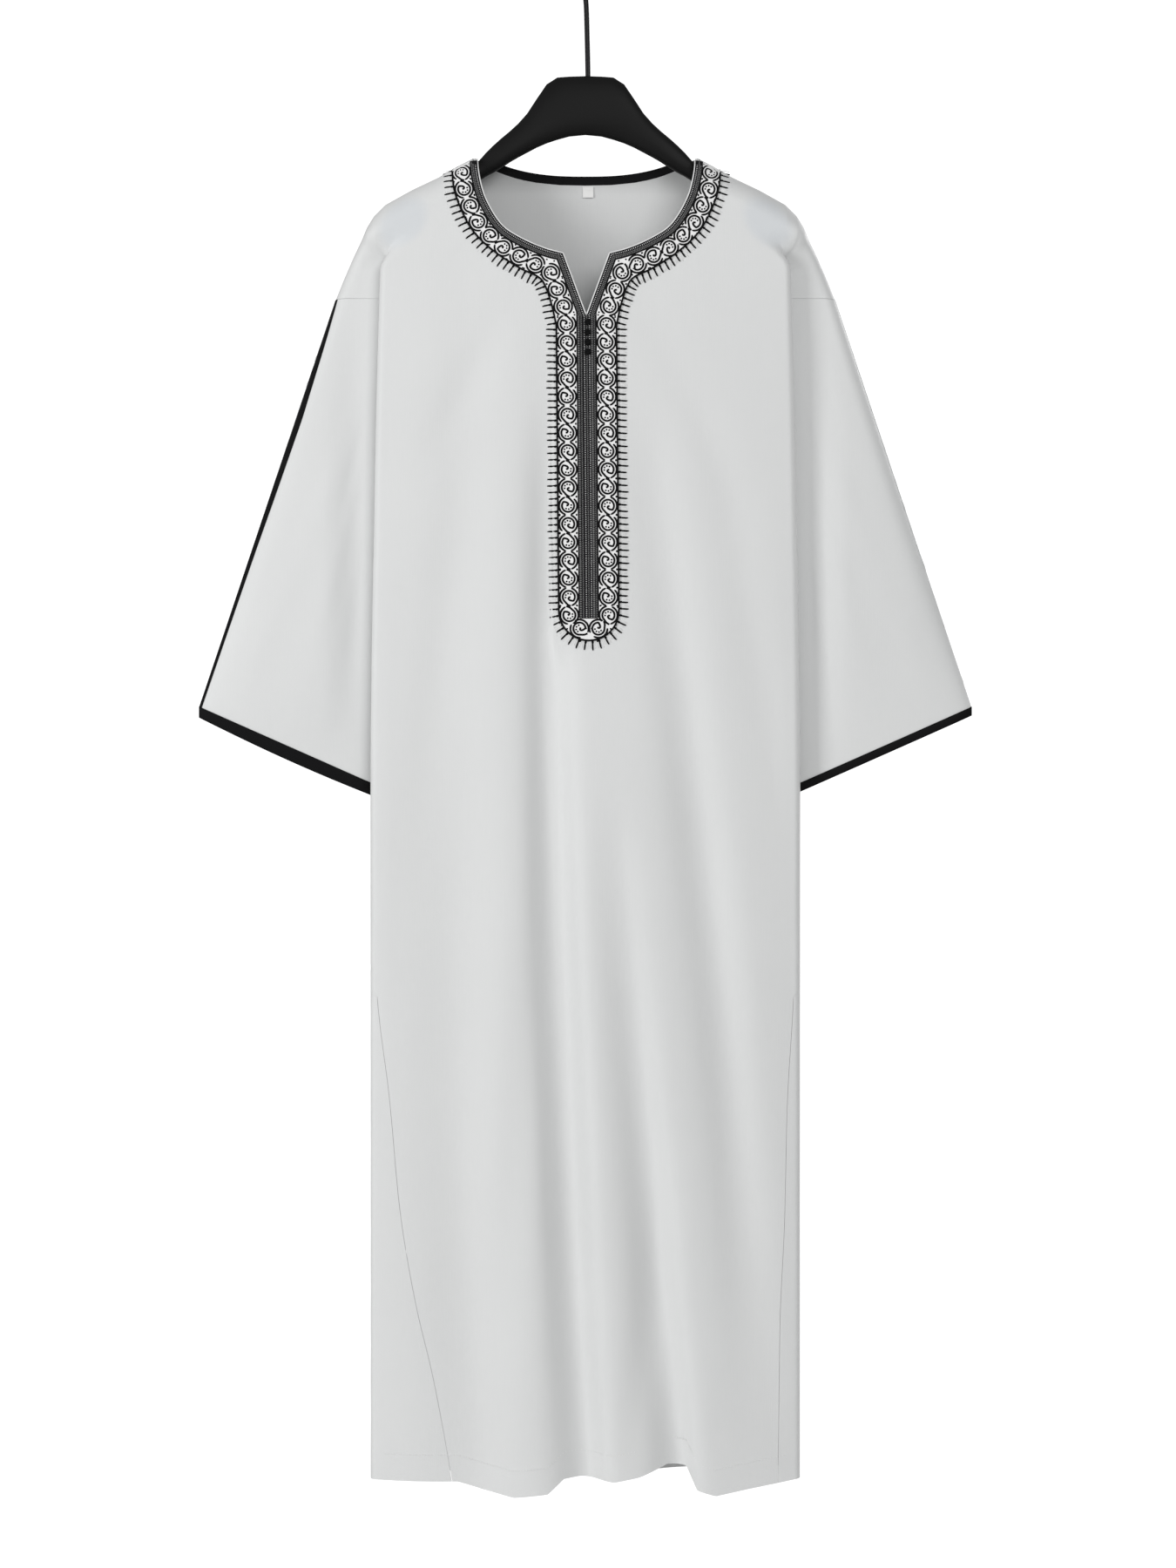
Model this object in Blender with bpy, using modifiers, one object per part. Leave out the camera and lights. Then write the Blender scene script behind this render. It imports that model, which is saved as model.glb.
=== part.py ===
# Embroidered robe on a wide-shouldered hanger. Metres, +Z up, the front faces -Y.
# The origin is where the hook rests on its rail. Lengths below are millimetres, times MM where a mesh is made.
import math
from collections import namedtuple

import bmesh
import bpy
import numpy as np
from mathutils import Vector

MM = 0.001
WALL = 1.0            # cloth
BINDING_WALL = 1.6    # folded binding over an edge
SEAM = 0.3            # between two sewn pieces
SEAM_AT_FOLD = 1.4    # the same on the outside of a fold, where the inner edges stand closer
SEAM_IN_PLEAT = 0.6   # and at the pleat's bottom
LAID_ON = 0.35        # between a panel and what is sewn on it
BAND_RISE = 0.8
BRAID_RISE = 1.2

HEM_Z = -1592.0
YOKE_Z = -381.3       # the drop shoulder's armhole row
UNDERARM_Z = -629.0
NECK_TOP_Z = -235.5
FOLD_START_Z = -310.0
V_CORNER_Z = -339.5
V_BOTTOM_Z = -402.2
BACK_NECK_Z = -256.0
NECK_HALF = 112.0
NECK_CENTRE = 1.0     # the neckline sits this far to the right
PLACKET_DRIFT = 2.6   # and the placket's foot this much further
SHOULDER_ROUND = 30.0
ARM_COST = 55.0       # millimetres of panel that one step round the side fold counts for

FRONT_COLUMNS = 19
BACK_COLUMNS = 12
WING_COLUMNS = 4
GORE_COLUMNS = 10
SLEEVE_ROWS = 7
EDGE_HALF = 3.0       # half the blunt edge where a front and a back piece meet
EDGE_STEP = 4.0       # the last strip of a panel along its seam

SHOULDER_ROWS = (-243.0, -255.0, -268.0, -283.0, -295.0, -306.5, -318.0)
FRONT_NECK_ROWS = (-327.0, -334.0, V_CORNER_Z, -360.0)
BACK_NECK_ROWS = (-248.0, -252.0, -254.8, BACK_NECK_Z)
ARMHOLE_ROWS = (V_BOTTOM_Z, -445.0, -505.0, -567.0)
SIDE_ROWS = (-660.0, -740.0, -830.0, -925.0, -1040.0, -1103.0, -1170.0, -1310.0, -1440.0, -1530.0)

# Half outline from the neck along the shoulder to the armhole row
Outline = namedtuple("Outline", "x z")
SHOULDER = (
    Outline(0.0, NECK_TOP_Z), Outline(116.5, NECK_TOP_Z), Outline(131.0, -243.0), Outline(151.5, -255.0),
    Outline(179.0, -268.0), Outline(206.0, -283.0), Outline(218.0, -295.0), Outline(225.0, -306.5),
    Outline(229.8, -318.0), Outline(240.8, -340.0), Outline(249.5, -360.0), Outline(258.0, YOKE_Z),
)
NECKLINE = (
    Outline(112.0, NECK_TOP_Z), Outline(109.5, -258.0), Outline(102.5, -283.0), Outline(86.5, -309.5),
    Outline(66.5, -323.5), Outline(43.0, -334.0), Outline(23.5, V_CORNER_Z),
)

# How the body hangs at each height: where the side fold stands, how far the cloth stands out there and at the centre,
# the radius of the fold, how far the pleat behind it goes in, and half the gap between its front and back seams
Section = namedtuple("Section", "z fold_x edge centre roll pleat gap")
SECTIONS = (
    Section(-1640.0, 220.0, 29.0, 52.0, 7.0, 13.0, 0.0),
    Section(-1350.0, 220.0, 29.0, 51.0, 7.0, 13.0, 0.0),
    Section(-1100.0, 220.0, 31.0, 51.0, 7.5, 15.0, 0.0),
    Section(-960.0, 220.0, 33.0, 51.0, 8.0, 27.0, 0.0),
    Section(-885.0, 220.0, 34.0, 51.0, 8.0, 36.0, 0.0),
    Section(-700.0, 218.0, 34.0, 50.0, 8.0, 37.0, 0.0),
    Section(-660.0, 217.2, 34.0, 50.0, 8.0, 36.0, 0.0),
    Section(UNDERARM_Z, 216.5, 34.0, 49.0, 8.0, 21.0, 14.0),
    Section(-567.0, 215.5, 34.0, 48.0, 8.0, 20.5, 15.0),
    Section(-450.0, 213.0, 34.0, 46.0, 8.0, 19.0, 15.0),
    Section(YOKE_Z, 211.0, 33.0, 43.0, 7.5, 15.0, 15.0),
    Section(-306.5, 208.5, 31.0, 38.0, 6.0, 8.0, 14.0),
    Section(NECK_TOP_Z, 206.0, 28.0, 32.0, 6.0, 8.0, 14.0),
)

# Valleys that run down a panel: a centre line through three points, a depth at each, and a width on either side
Fold = namedtuple("Fold", "top bottom x_top x_middle x_bottom d_top d_middle d_bottom left right")
FRONT_FOLDS = (
    Fold(-440.0, -1640.0, -40.0, -25.0, 5.0, 0.0, 20.0, 21.0, 19.0, 12.0),
    Fold(-850.0, -1640.0, 24.0, 62.0, 100.0, 0.0, 14.0, 19.0, 18.0, 12.0),
    Fold(-450.0, -1560.0, 56.0, 127.0, 190.0, 3.0, 11.0, 0.0, 20.0, 15.0),
    Fold(-560.0, -1640.0, -160.0, -141.0, -116.0, 0.0, 8.0, 9.0, 30.0, 26.0),
)
BACK_FOLDS = (
    Fold(-420.0, -1640.0, 30.0, 48.0, 22.0, 0.0, 17.0, 20.0, 14.0, 22.0),
    Fold(-560.0, -1640.0, -60.0, -82.0, -66.0, 0.0, 14.0, 17.0, 20.0, 14.0),
    Fold(-620.0, -1640.0, 128.0, 132.0, 146.0, 0.0, 10.0, 12.0, 24.0, 18.0),
    Fold(-700.0, -1640.0, -150.0, -156.0, -142.0, 0.0, 7.0, 9.0, 22.0, 26.0),
)

# The gore's front and back seams, by height: above 0 it lies round the side fold (1 at its back, 2 at the pleat's
# bottom), and below 0 it is that many millimetres in from the fold
Seam = namedtuple("Seam", "z left right back")
GORE_SEAM = (
    Seam(-1610.0, -80.0, -17.0, -50.0),
    Seam(-1556.0, -71.0, -16.0, -44.0),
    Seam(-1479.0, -56.0, -15.0, -36.0),
    Seam(-1421.0, -42.0, -14.0, -31.0),
    Seam(-1340.0, -27.0, -10.0, -23.0),
    Seam(-1196.0, -12.0, -6.0, -10.0),
    Seam(-1097.0, 0.1, 0.05, 0.1),
    Seam(-985.0, 0.6, 0.5, 0.6),
    Seam(-800.0, 1.3, 1.2, 1.3),
    Seam(UNDERARM_Z, 1.9, 1.9, 1.9),
)

# The hem's height across the front, lower where the cloth swings forward
HEM = (
    Outline(-220.0, -1592.0), Outline(-130.0, -1593.0), Outline(-106.0, -1600.0), Outline(-73.0, -1607.0),
    Outline(-38.0, -1603.0), Outline(-22.0, -1589.0), Outline(-5.0, -1588.0), Outline(29.0, -1591.0),
    Outline(55.0, -1586.0), Outline(84.0, -1575.0), Outline(103.0, -1577.0), Outline(114.0, -1601.0),
    Outline(133.0, -1606.0), Outline(165.0, -1600.0), Outline(220.0, -1591.0),
)
HEM_RAMP = 190.0

# Sleeve end, from its outer to its inner corner
CUFF_OUTER = (398.5, -801.5)
CUFF_INNER = (193.0, -889.0)
CUFF_HALF_DEPTH = 15.0
CUFF_BINDING = 10.0
WING_HALF_DEPTH = 13.0
WING_ROUND = 14.0
SLEEVE_PUFF = 6.0
TAPE_COLUMNS = 2

BRAID_WIDTH = 8.0
PLACKET_HALF = 9.6
PLACKET_FOOT_Z = -712.0
BAND_HALF = 30.6
BAND_FOOT_Z = -735.0
BAND_OUTER = (
    Outline(138.0, -250.0), Outline(133.5, -279.0), Outline(118.0, -313.0), Outline(96.0, -336.0),
    Outline(68.5, -354.5), Outline(50.0, -363.5), Outline(42.5, -372.0), Outline(35.5, -392.0),
    Outline(BAND_HALF, -414.0),
)
BUTTON_Z = (-411.0, -419.0, -426.7, -434.2, -441.4)
BUTTON_RADIUS = 3.3
BUTTON_X = 2.3
LABEL = (11.0, 11.0)
LABEL_CENTRE = (2.7, -263.0)

# The hanger's half outline: top and underside heights, and half its thickness, at each distance from the middle
Arm = namedtuple("Arm", "x top bottom half")
HANGER = (
    Arm(0.0, -149.6, -210.3, 9.0), Arm(20.0, -150.4, -212.5, 9.0), Arm(34.0, -153.0, -217.0, 9.0),
    Arm(43.0, -161.5, -220.0, 9.0), Arm(51.5, -175.0, -224.0, 9.0), Arm(61.0, -189.5, -229.0, 9.0),
    Arm(75.0, -204.0, -236.5, 9.0), Arm(92.0, -218.5, -247.5, 8.5), Arm(106.0, -232.5, -255.0, 7.5),
    Arm(110.5, -237.8, -258.0, 7.5), Arm(131.0, -244.6, -270.0, 10.5), Arm(151.5, -256.6, -284.0, 13.5),
    Arm(179.0, -269.6, -307.0, 17.0), Arm(196.0, -279.2, -315.0, 18.0), Arm(205.0, -286.0, -313.0, 14.0),
    Arm(209.0, -293.0, -308.0, 9.0),
)
HANGER_SIDES = 12
WIRE = 2.7
HOOK_INSIDE = 22.0
STEM_X = 2.7
SOCKET_DEPTH = 22.0


def clear_scene():
    for thing in list(bpy.data.objects):
        bpy.data.objects.remove(thing, do_unlink=True)


def ease(value):
    t = min(max(value, 0.0), 1.0)
    return t * t * (3.0 - 2.0 * t)


def column(table, name):
    return [getattr(row, name) for row in table]


def smooth_at(table, key, name, at):
    """A smooth curve through one column of a table that is sorted by its key."""
    keys = np.array(column(table, key))
    values = np.array(column(table, name))
    slopes = np.gradient(values, keys)
    at = min(max(at, keys[0]), keys[-1])
    i = int(min(np.searchsorted(keys, at, side="right") - 1, len(keys) - 2))
    step = keys[i + 1] - keys[i]
    t = (at - keys[i]) / step
    rise = (3.0 - 2.0 * t) * t * t
    return float(
        values[i] + (values[i + 1] - values[i]) * rise
        + step * (slopes[i] * t * (1.0 - t) ** 2 - slopes[i + 1] * t * t * (1.0 - t))
    )


def linear_at(table, key, name, at):
    return float(np.interp(at, column(table, key), column(table, name)))


def section_at(z):
    return Section(z, *(smooth_at(SECTIONS, "z", name, z) for name in Section._fields[1:]))


def shoulder_z(x):
    return linear_at(SHOULDER, "x", "z", abs(x))


def shoulder_x(z):
    rows = SHOULDER[:0:-1]
    return linear_at(rows, "z", "x", z)


def blunt(t):
    """Rises from 0 at an edge to 1 as a quarter circle does."""
    t = min(max(t, 0.0), 1.0)
    return math.sqrt(1.0 - (1.0 - t) ** 2)


def placket_x(z):
    return NECK_CENTRE + PLACKET_DRIFT * min(max((V_BOTTOM_Z - z) / 312.0, 0.0), 1.0)


def fold_depth(fold, x, z):
    if z > fold.top or z < fold.bottom:
        return 0.0
    t = (fold.top - z) / (fold.top - fold.bottom)
    low, mid, high = (1 - t) * (1 - 2 * t), 4 * t * (1 - t), t * (2 * t - 1)
    line = fold.x_top * low + fold.x_middle * mid + fold.x_bottom * high
    stops = [Outline(0.0, fold.d_top), Outline(0.5, fold.d_middle), Outline(1.0, fold.d_bottom)]
    depth = smooth_at(stops, "x", "z", t) * ease(t * 8.0)
    away = (x - line) / (fold.left if x < line else fold.right)
    return depth * math.exp(-0.5 * away * away)


def stiffness(x, z):
    """1 on the embroidered placket, where the cloth can't fold, and 0 away from it."""
    across = 1.0 - ease((abs(x - placket_x(z)) - 27.0) / 14.0)
    return across * ease((z - BAND_FOOT_Z + 30.0) / 50.0)


def cloth_depth(face, x, z):
    """How far the front (face -1) or the back (face 1) stands out from the middle plane."""
    section = section_at(z)
    across = min(abs(x) / section.fold_x, 1.0)
    depth = section.edge + (section.centre - section.edge) * (1.0 - across ** 2.2)
    folds = sum(fold_depth(fold, x, z) for fold in (FRONT_FOLDS if face < 0 else BACK_FOLDS))
    if face < 0:
        folds *= 1.0 - stiffness(x, z)
    depth -= folds * (1.0 - ease((across - 0.86) / 0.12))
    return depth * blunt((shoulder_z(x) - z) / SHOULDER_ROUND)


def neck_curve():
    """The front neckline's right half, from the shoulder to the corner of the V."""
    rows = NECKLINE[::-1]
    turns = np.linspace(0.0, len(NECKLINE) - 1.0, 15)
    stops = [(i, row.x, row.z) for i, row in enumerate(rows)]
    Stop = namedtuple("Stop", "i x z")
    table = [Stop(*stop) for stop in stops]
    return [(smooth_at(table, "i", "x", t), smooth_at(table, "i", "z", t)) for t in turns][::-1]


def front_neck_x(z):
    if z <= V_BOTTOM_Z:
        return 0.0
    if z < V_CORNER_Z:
        corner = NECKLINE[-1].x
        return 0.5 + (corner - 0.5) * (z - V_BOTTOM_Z) / (V_CORNER_Z - V_BOTTOM_Z)
    curve = neck_curve()[::-1]
    return float(np.interp(z, [p[1] for p in curve], [p[0] for p in curve]))


def back_neck_z(x):
    return BACK_NECK_Z + (NECK_TOP_Z - BACK_NECK_Z) * min(abs(x) / NECK_HALF, 1.0) ** 2.6


def back_neck_x(z):
    if z <= BACK_NECK_Z:
        return 0.0
    return NECK_HALF * ((z - BACK_NECK_Z) / (NECK_TOP_Z - BACK_NECK_Z)) ** (1.0 / 2.6)


def inner_x(face, side, z):
    """The panel's inner edge, or its middle, measured outwards on one side."""
    neck = front_neck_x(z) if face < 0 else back_neck_x(z)
    return neck + side * (placket_x(z) if face < 0 else 0.0)


def side_point(face, side, z, v):
    """A point of a section. v is 0 where the side fold starts, negative on the panel, 1 behind the fold and 2 at the
    pleat's bottom."""
    section = section_at(z)
    start_x = section.fold_x - section.roll
    depth = cloth_depth(face, side * start_x, z)
    behind = depth - 2.0 * section.roll
    if v <= 0.0:
        x = start_x + v
        return side * x, face * cloth_depth(face, side * x, z)
    if v <= 1.0:
        turn = math.pi * v
        return side * (start_x + section.roll * math.sin(turn)), face * (depth - section.roll * (1.0 - math.cos(turn)))
    turn = 0.5 * math.pi * (v - 1.0)
    x = start_x - (section.pleat - section.roll) * math.sin(turn)
    return side * x, face * (behind + (section.gap - behind) * (1.0 - math.cos(turn)))


def panel_steps(start, end, count):
    """Values of v from start to end, closer together round the side fold."""
    cost = [v if v <= 0.0 else v * ARM_COST for v in (start, end)]
    steps = [*np.linspace(cost[0], cost[1] - EDGE_STEP, count), cost[1]]
    return [c if c <= 0.0 else c / ARM_COST for c in steps]


def wing_point(face, side, z, k):
    """Columns from the pleat's bottom (k 0) out to the shoulder fold, whose edge is blunt."""
    section = section_at(z)
    m = 1.0 - (1.0 - min(k / (WING_COLUMNS - 1), 1.0)) ** 1.6
    edge = shoulder_x(z)
    x = section.fold_x - section.pleat + (edge - section.fold_x + section.pleat) * m
    depth = WING_HALF_DEPTH + (section.gap - WING_HALF_DEPTH) * (1.0 - m) ** 2
    depth = max(depth * blunt((edge - x) / WING_ROUND), 0.5 * SEAM if k == WING_COLUMNS else EDGE_HALF)
    return side * x, face * depth


def upper_row(face, side, z, count):
    """One row above the armhole, from the neck to the shoulder fold: flat at the top, with the pleat lower down."""
    section = section_at(z)
    inner, outer = inner_x(face, side, z), shoulder_x(z)
    folded = ease((FOLD_START_Z - z) / 45.0)
    steps = panel_steps(inner - section.fold_x + section.roll, 2.0, count)
    pleated = [side_point(face, side, z, v) for v in steps]
    pleated += [wing_point(face, side, z, k) for k in range(1, WING_COLUMNS + 1)]
    last = len(pleated) - 1
    row = []
    for i, (x, y) in enumerate(pleated):
        flat_x = outer - (outer - inner) * (1.0 - min(i / (last - 1), 1.0)) ** 1.4
        edge = 0.5 * SEAM if i == last else EDGE_HALF
        flat_y = face * (edge if i == last else max(cloth_depth(face, side * flat_x, z), edge))
        row.append((side * flat_x + (x - side * flat_x) * folded, flat_y + (y - flat_y) * folded, z))
    return row


def seam_v(face, side, z):
    name = "back" if face > 0 else ("left" if side < 0 else "right")
    return smooth_at(GORE_SEAM, "z", name, max(z, GORE_SEAM[0].z))


def lower_row(face, side, z, count):
    section = section_at(z)
    end = 2.0 if z > UNDERARM_Z else seam_v(face, side, z)
    start = inner_x(face, side, z) - section.fold_x + section.roll
    return [(*side_point(face, side, z, v), z) for v in panel_steps(start, end, count)]


def hemmed(points):
    """The lowest rows, drawn up or let down to the hem's own height."""
    out = []
    for x, y, z in points:
        drop = linear_at(HEM, "x", "z", x if y < 0 else -x) - HEM_Z
        out.append((x, y, z + (drop if y < 0 else 0.5 * drop) * ease((HEM_Z + HEM_RAMP - z) / HEM_RAMP)))
    return out


def body_rows(face):
    neck = FRONT_NECK_ROWS if face < 0 else BACK_NECK_ROWS
    upper = sorted({NECK_TOP_Z, *SHOULDER_ROWS, *neck, -340.0, -360.0, YOKE_Z}, reverse=True)
    return [z for z in upper if not (face < 0 and z == -340.0)]


def lower_heights():
    return [YOKE_Z, *ARMHOLE_ROWS, UNDERARM_Z, *SIDE_ROWS, HEM_Z]


def material(name, colour, roughness, metallic=0.0):
    made = bpy.data.materials.new(name)
    made.use_nodes = True
    shader = made.node_tree.nodes["Principled BSDF"]
    shader.inputs["Base Color"].default_value = (*colour, 1.0)
    shader.inputs["Roughness"].default_value = roughness
    shader.inputs["Metallic"].default_value = metallic
    made.diffuse_color = (*colour, 1.0)
    return made


def object_from(name, mesh, finish, home):
    made = bpy.data.objects.new(name, mesh)
    home.objects.link(made)
    mesh.materials.clear()
    mesh.materials.append(finish)
    return made


def mesh_of(name, points, faces):
    mesh = bpy.data.meshes.new(name)
    mesh.from_pydata([Vector(p) * MM for p in points], [], faces)
    mesh.update()
    mesh.shade_smooth()
    return mesh


def grid_faces(rows, facing):
    """Quads between rows of point numbers. facing -1 keeps them as wound, 1 turns them over."""
    faces = []
    for upper, lower in zip(rows, rows[1:]):
        for k in range(min(len(upper), len(lower)) - 1):
            quad = [upper[k], lower[k], lower[k + 1], upper[k + 1]]
            faces.append(quad if facing < 0 else quad[::-1])
    return faces


def wall(piece, thickness, offset=-1.0):
    shell = piece.modifiers.new("wall", "SOLIDIFY")
    shell.thickness = thickness * MM
    shell.offset = offset
    shell.use_rim = True
    return shell


def body_panel_mesh(name, face, count):
    """A front or back panel. Its two halves join below the neckline, along the middle column."""
    points, faces = [], []
    middle = {}
    for side in (-1, 1):
        rows = []
        for z in body_rows(face):
            rows.append((z, upper_row(face, side, z, count)))
        for z in lower_heights()[1:]:
            rows.append((z, hemmed(lower_row(face, side, z, count))))
        numbered = []
        joined_below = V_BOTTOM_Z if face < 0 else BACK_NECK_Z
        for z, row in rows:
            first = len(points)
            numbers = list(range(first, first + len(row)))
            if z <= joined_below:
                if side < 0:
                    middle[z] = first
                    points.extend(row)
                else:
                    numbers = [middle[z], *range(first, first + len(row) - 1)]
                    points.extend(row[1:])
            else:
                points.extend(row)
            numbered.append(numbers)
        faces += grid_faces(numbered, face * side)
    halves = [tri for f in faces for tri in ([f[0], f[1], f[2]], [f[0], f[2], f[3]])]
    return mesh_of(name, points, halves)


def make_body_panel(name, face, count, finish, home):
    panel = object_from(name, body_panel_mesh(name, face, count), finish, home)
    wall(panel, WALL)
    return panel


def gore_row(side, z):
    """Round the side from the front seam to the back seam, through the pleat's bottom."""
    half = GORE_COLUMNS // 2 + 1
    row = []
    for face in (-1, 1):
        start = seam_v(face, side, z)
        part = [(*side_point(face, side, z, v), z) for v in seam_steps(start, half)]
        inside = min(max(start / 2.0, 0.0), 1.0)
        part[0] = move_towards(part[0], part[1], SEAM_AT_FOLD + (SEAM_IN_PLEAT - SEAM_AT_FOLD) * inside)
        row += part if face < 0 else part[-2::-1]
    if z == UNDERARM_Z:
        row[half] = (row[half][0], 0.0, z)
        row = [(x, y, z - 2.0 * SEAM) for x, y, z in row]
    return hemmed(row)


def seam_steps(start, count):
    """Values of v from a seam to the pleat's bottom, with a narrow first strip."""
    cost = start if start <= 0.0 else start * ARM_COST
    steps = [cost, *np.linspace(cost + EDGE_STEP, 2.0 * ARM_COST, count)]
    return [c if c <= 0.0 else c / ARM_COST for c in steps]


def move_towards(point, other, distance):
    step = Vector(other) - Vector(point)
    return tuple(Vector(point) + step.normalized() * distance)


def make_gore(name, side, finish, home):
    points, rows = [], []
    for z in (UNDERARM_Z, *SIDE_ROWS, HEM_Z):
        row = gore_row(side, z)
        rows.append(list(range(len(points), len(points) + len(row))))
        points += row
    gore = object_from(name, mesh_of(name, points, grid_faces(rows, side * -1)), finish, home)
    wall(gore, WALL)
    return gore


def sleeve_grid(face, side):
    """Rows of points from the armhole to the cuff. Columns run from the shoulder fold to the underarm seam."""
    head = [(*wing_point(face, side, YOKE_Z, k), YOKE_Z - SEAM) for k in range(WING_COLUMNS, 0, -1)]
    for z in (YOKE_Z, *ARMHOLE_ROWS, UNDERARM_Z):
        x, y = side_point(face, side, z, 2.0)
        head.append((x + side * 0.2, y - face * SEAM, z))
    head.append((head[-1][0] + side * 0.5, face * 0.5 * SEAM, UNDERARM_Z))
    last = len(head) - 1
    rows = []
    for j in range(SLEEVE_ROWS + 1):
        t = j / SLEEVE_ROWS
        row = []
        for k, top in enumerate(head):
            g = min(max((k - 1) / (last - 2), 0.0), 1.0)
            f = 0.5 * (g + 0.5 - 0.5 * math.cos(math.pi * g))
            x_end = CUFF_OUTER[0] + (CUFF_INNER[0] - CUFF_OUTER[0]) * f
            z_end = CUFF_OUTER[1] + (CUFF_INNER[1] - CUFF_OUTER[1]) * f
            lens = CUFF_HALF_DEPTH * (1.0 - abs(2.0 * f - 1.0) ** 2.4) ** (1 / 2.4)
            y_end = face * (max(lens, EDGE_HALF) if 0 < k < last else 0.5 * SEAM)
            x, z = side * (abs(top[0]) * (1 - t) + x_end * t), top[2] * (1 - t) + z_end * t
            puff = SLEEVE_PUFF * math.sin(math.pi * t) * math.sin(math.pi * f) * ease((abs(x) - 230.0) / 40.0)
            row.append((x, top[1] * (1 - t) + y_end * t + face * puff, z))
        rows.append(row)
    return rows


def number_rows(rows):
    points, numbers = [], []
    for row in rows:
        numbers.append(list(range(len(points), len(points) + len(row))))
        points += row
    return points, numbers


def make_sleeve_half(name, face, side, finish, home):
    points, numbers = number_rows(sleeve_grid(face, side))
    half = object_from(name, mesh_of(name, points, grid_faces(numbers, -face * side)), finish, home)
    wall(half, WALL)
    return half


def make_cuff_binding(name, side, finish, home):
    """A ring of folded tape below the sleeve's edge."""
    front, back = sleeve_grid(-1, side)[-1], sleeve_grid(1, side)[-1]
    ring = [(front[0][0], 0.0, front[0][2]), *front[1:-1], (front[-1][0], 0.0, front[-1][2]), *back[-2:0:-1]]
    rows = [[(x, y, z - drop) for x, y, z in ring] for drop in (2.0 * SEAM, CUFF_BINDING * 0.5, CUFF_BINDING)]
    points, numbers = number_rows(rows)
    numbers = [row + row[:1] for row in numbers]
    binding = object_from(name, mesh_of(name, points, grid_faces(numbers, side)), finish, home)
    wall(binding, BINDING_WALL, -0.5)
    return binding


def make_sleeve_tape(name, face, side, finish, home):
    """Narrow tape on one side of the sleeve's upper fold, made from the sleeve's own points."""
    points, numbers = number_rows(sleeve_grid(face, side))
    whole = mesh_of(name, points, grid_faces(numbers, -face * side))
    normals = [vertex.normal.copy() for vertex in whole.vertices]
    strip = [row[:TAPE_COLUMNS + 1] for row in numbers]
    raised = [tuple(Vector(p) + normals[i] * LAID_ON) for i, p in enumerate(points)]
    kept = [[raised[i] for i in row] for row in strip]
    bpy.data.meshes.remove(whole)
    points, numbers = number_rows(kept)
    tape = object_from(name, mesh_of(name, points, grid_faces(numbers, -face * side)), finish, home)
    wall(tape, 0.6, 1.0)
    return tape


def make_back_binding(name, finish, home):
    """Binding that stands up from the back neck's edge, which is straight between the panel's rows."""
    heights = sorted({NECK_TOP_Z, SHOULDER_ROWS[0], *BACK_NECK_ROWS})
    edge_x = [back_neck_x(z) for z in heights]
    reach = 100.0
    half = [x for x in edge_x if x < reach] + [reach]
    rows = []
    for rise in (9.4, 5.0, SEAM):
        row = []
        for x in [-x for x in half[:0:-1]] + half:
            edge = float(np.interp(abs(x), edge_x, heights))
            height = max(min(edge + rise, NECK_TOP_Z - 0.6 - (9.4 - rise) * 0.35), edge + SEAM)
            row.append((x, cloth_depth(1, x, edge), height))
        rows.append(row)
    points, numbers = number_rows(rows)
    binding = object_from(name, mesh_of(name, points, grid_faces(numbers, 1)), finish, home)
    wall(binding, BINDING_WALL, -0.5)
    return binding


def offset_line(points, distance):
    """A line of (x, z) points moved sideways, away from the neck opening."""
    out = []
    for i, (x, z) in enumerate(points):
        ahead, behind = points[min(i + 1, len(points) - 1)], points[max(i - 1, 0)]
        along = Vector((ahead[0] - behind[0], ahead[1] - behind[1])).normalized()
        out.append((x - along.y * distance, z + along.x * distance))
    return out


def drifted(points, side):
    """Half an outline laid on its side of the neckline and of the placket."""
    return [(side * x + placket_x(z), z) for x, z in points]


def braid_line(distance):
    """The neckline's right half with its V, moved out by a distance and carried up past the shoulder."""
    curve = neck_curve()
    line = offset_line(curve, distance)
    corner = curve[-1]
    slope = Vector((0.5 - corner[0], V_BOTTOM_Z - corner[1])).normalized()
    shift = Vector((-slope.y, slope.x)) * distance
    foot = Vector((0.5, V_BOTTOM_Z)) + shift
    meet = Vector(line[-2])
    top = Vector((corner[0], corner[1])) + shift
    level = min(meet.y, top.y)
    turn = (top.x + (top.y - level) * (slope.x / -slope.y), level)
    return [(line[0][0], NECK_TOP_Z + 12.0), *line[:-1], turn, (foot.x, foot.y)]


def clip_below(line, z):
    """The line down to height z, with its last point on it."""
    kept = [p for p in line if p[1] > z]
    below = [p for p in line if p[1] <= z]
    if not below:
        last, before = line[-1], line[-2]
        t = (z - last[1]) / (last[1] - before[1])
        return [*line, (last[0] + (last[0] - before[0]) * t, z)]
    t = (z - kept[-1][1]) / (below[0][1] - kept[-1][1])
    return [*kept, (kept[-1][0] + (below[0][0] - kept[-1][0]) * t, z)]


def prism(name, outline, home):
    """A cutter: an outline in the front plane, drawn through the front of the robe."""
    near, far = -90.0, -4.8
    shape = bmesh.new()
    face = shape.faces.new([shape.verts.new(Vector((x, far, z)) * MM) for x, z in outline])
    swept = bmesh.ops.extrude_face_region(shape, geom=[face])
    moved = [part for part in swept["geom"] if isinstance(part, bmesh.types.BMVert)]
    bmesh.ops.translate(shape, verts=moved, vec=(0.0, (near - far) * MM, 0.0))
    bmesh.ops.recalc_face_normals(shape, faces=shape.faces)
    mesh = bpy.data.meshes.new(name)
    shape.to_mesh(mesh)
    shape.free()
    cutter = bpy.data.objects.new(name, mesh)
    cutter.hide_render = True
    cutter.display_type = "WIRE"
    home.objects.link(cutter)
    return cutter


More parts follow.
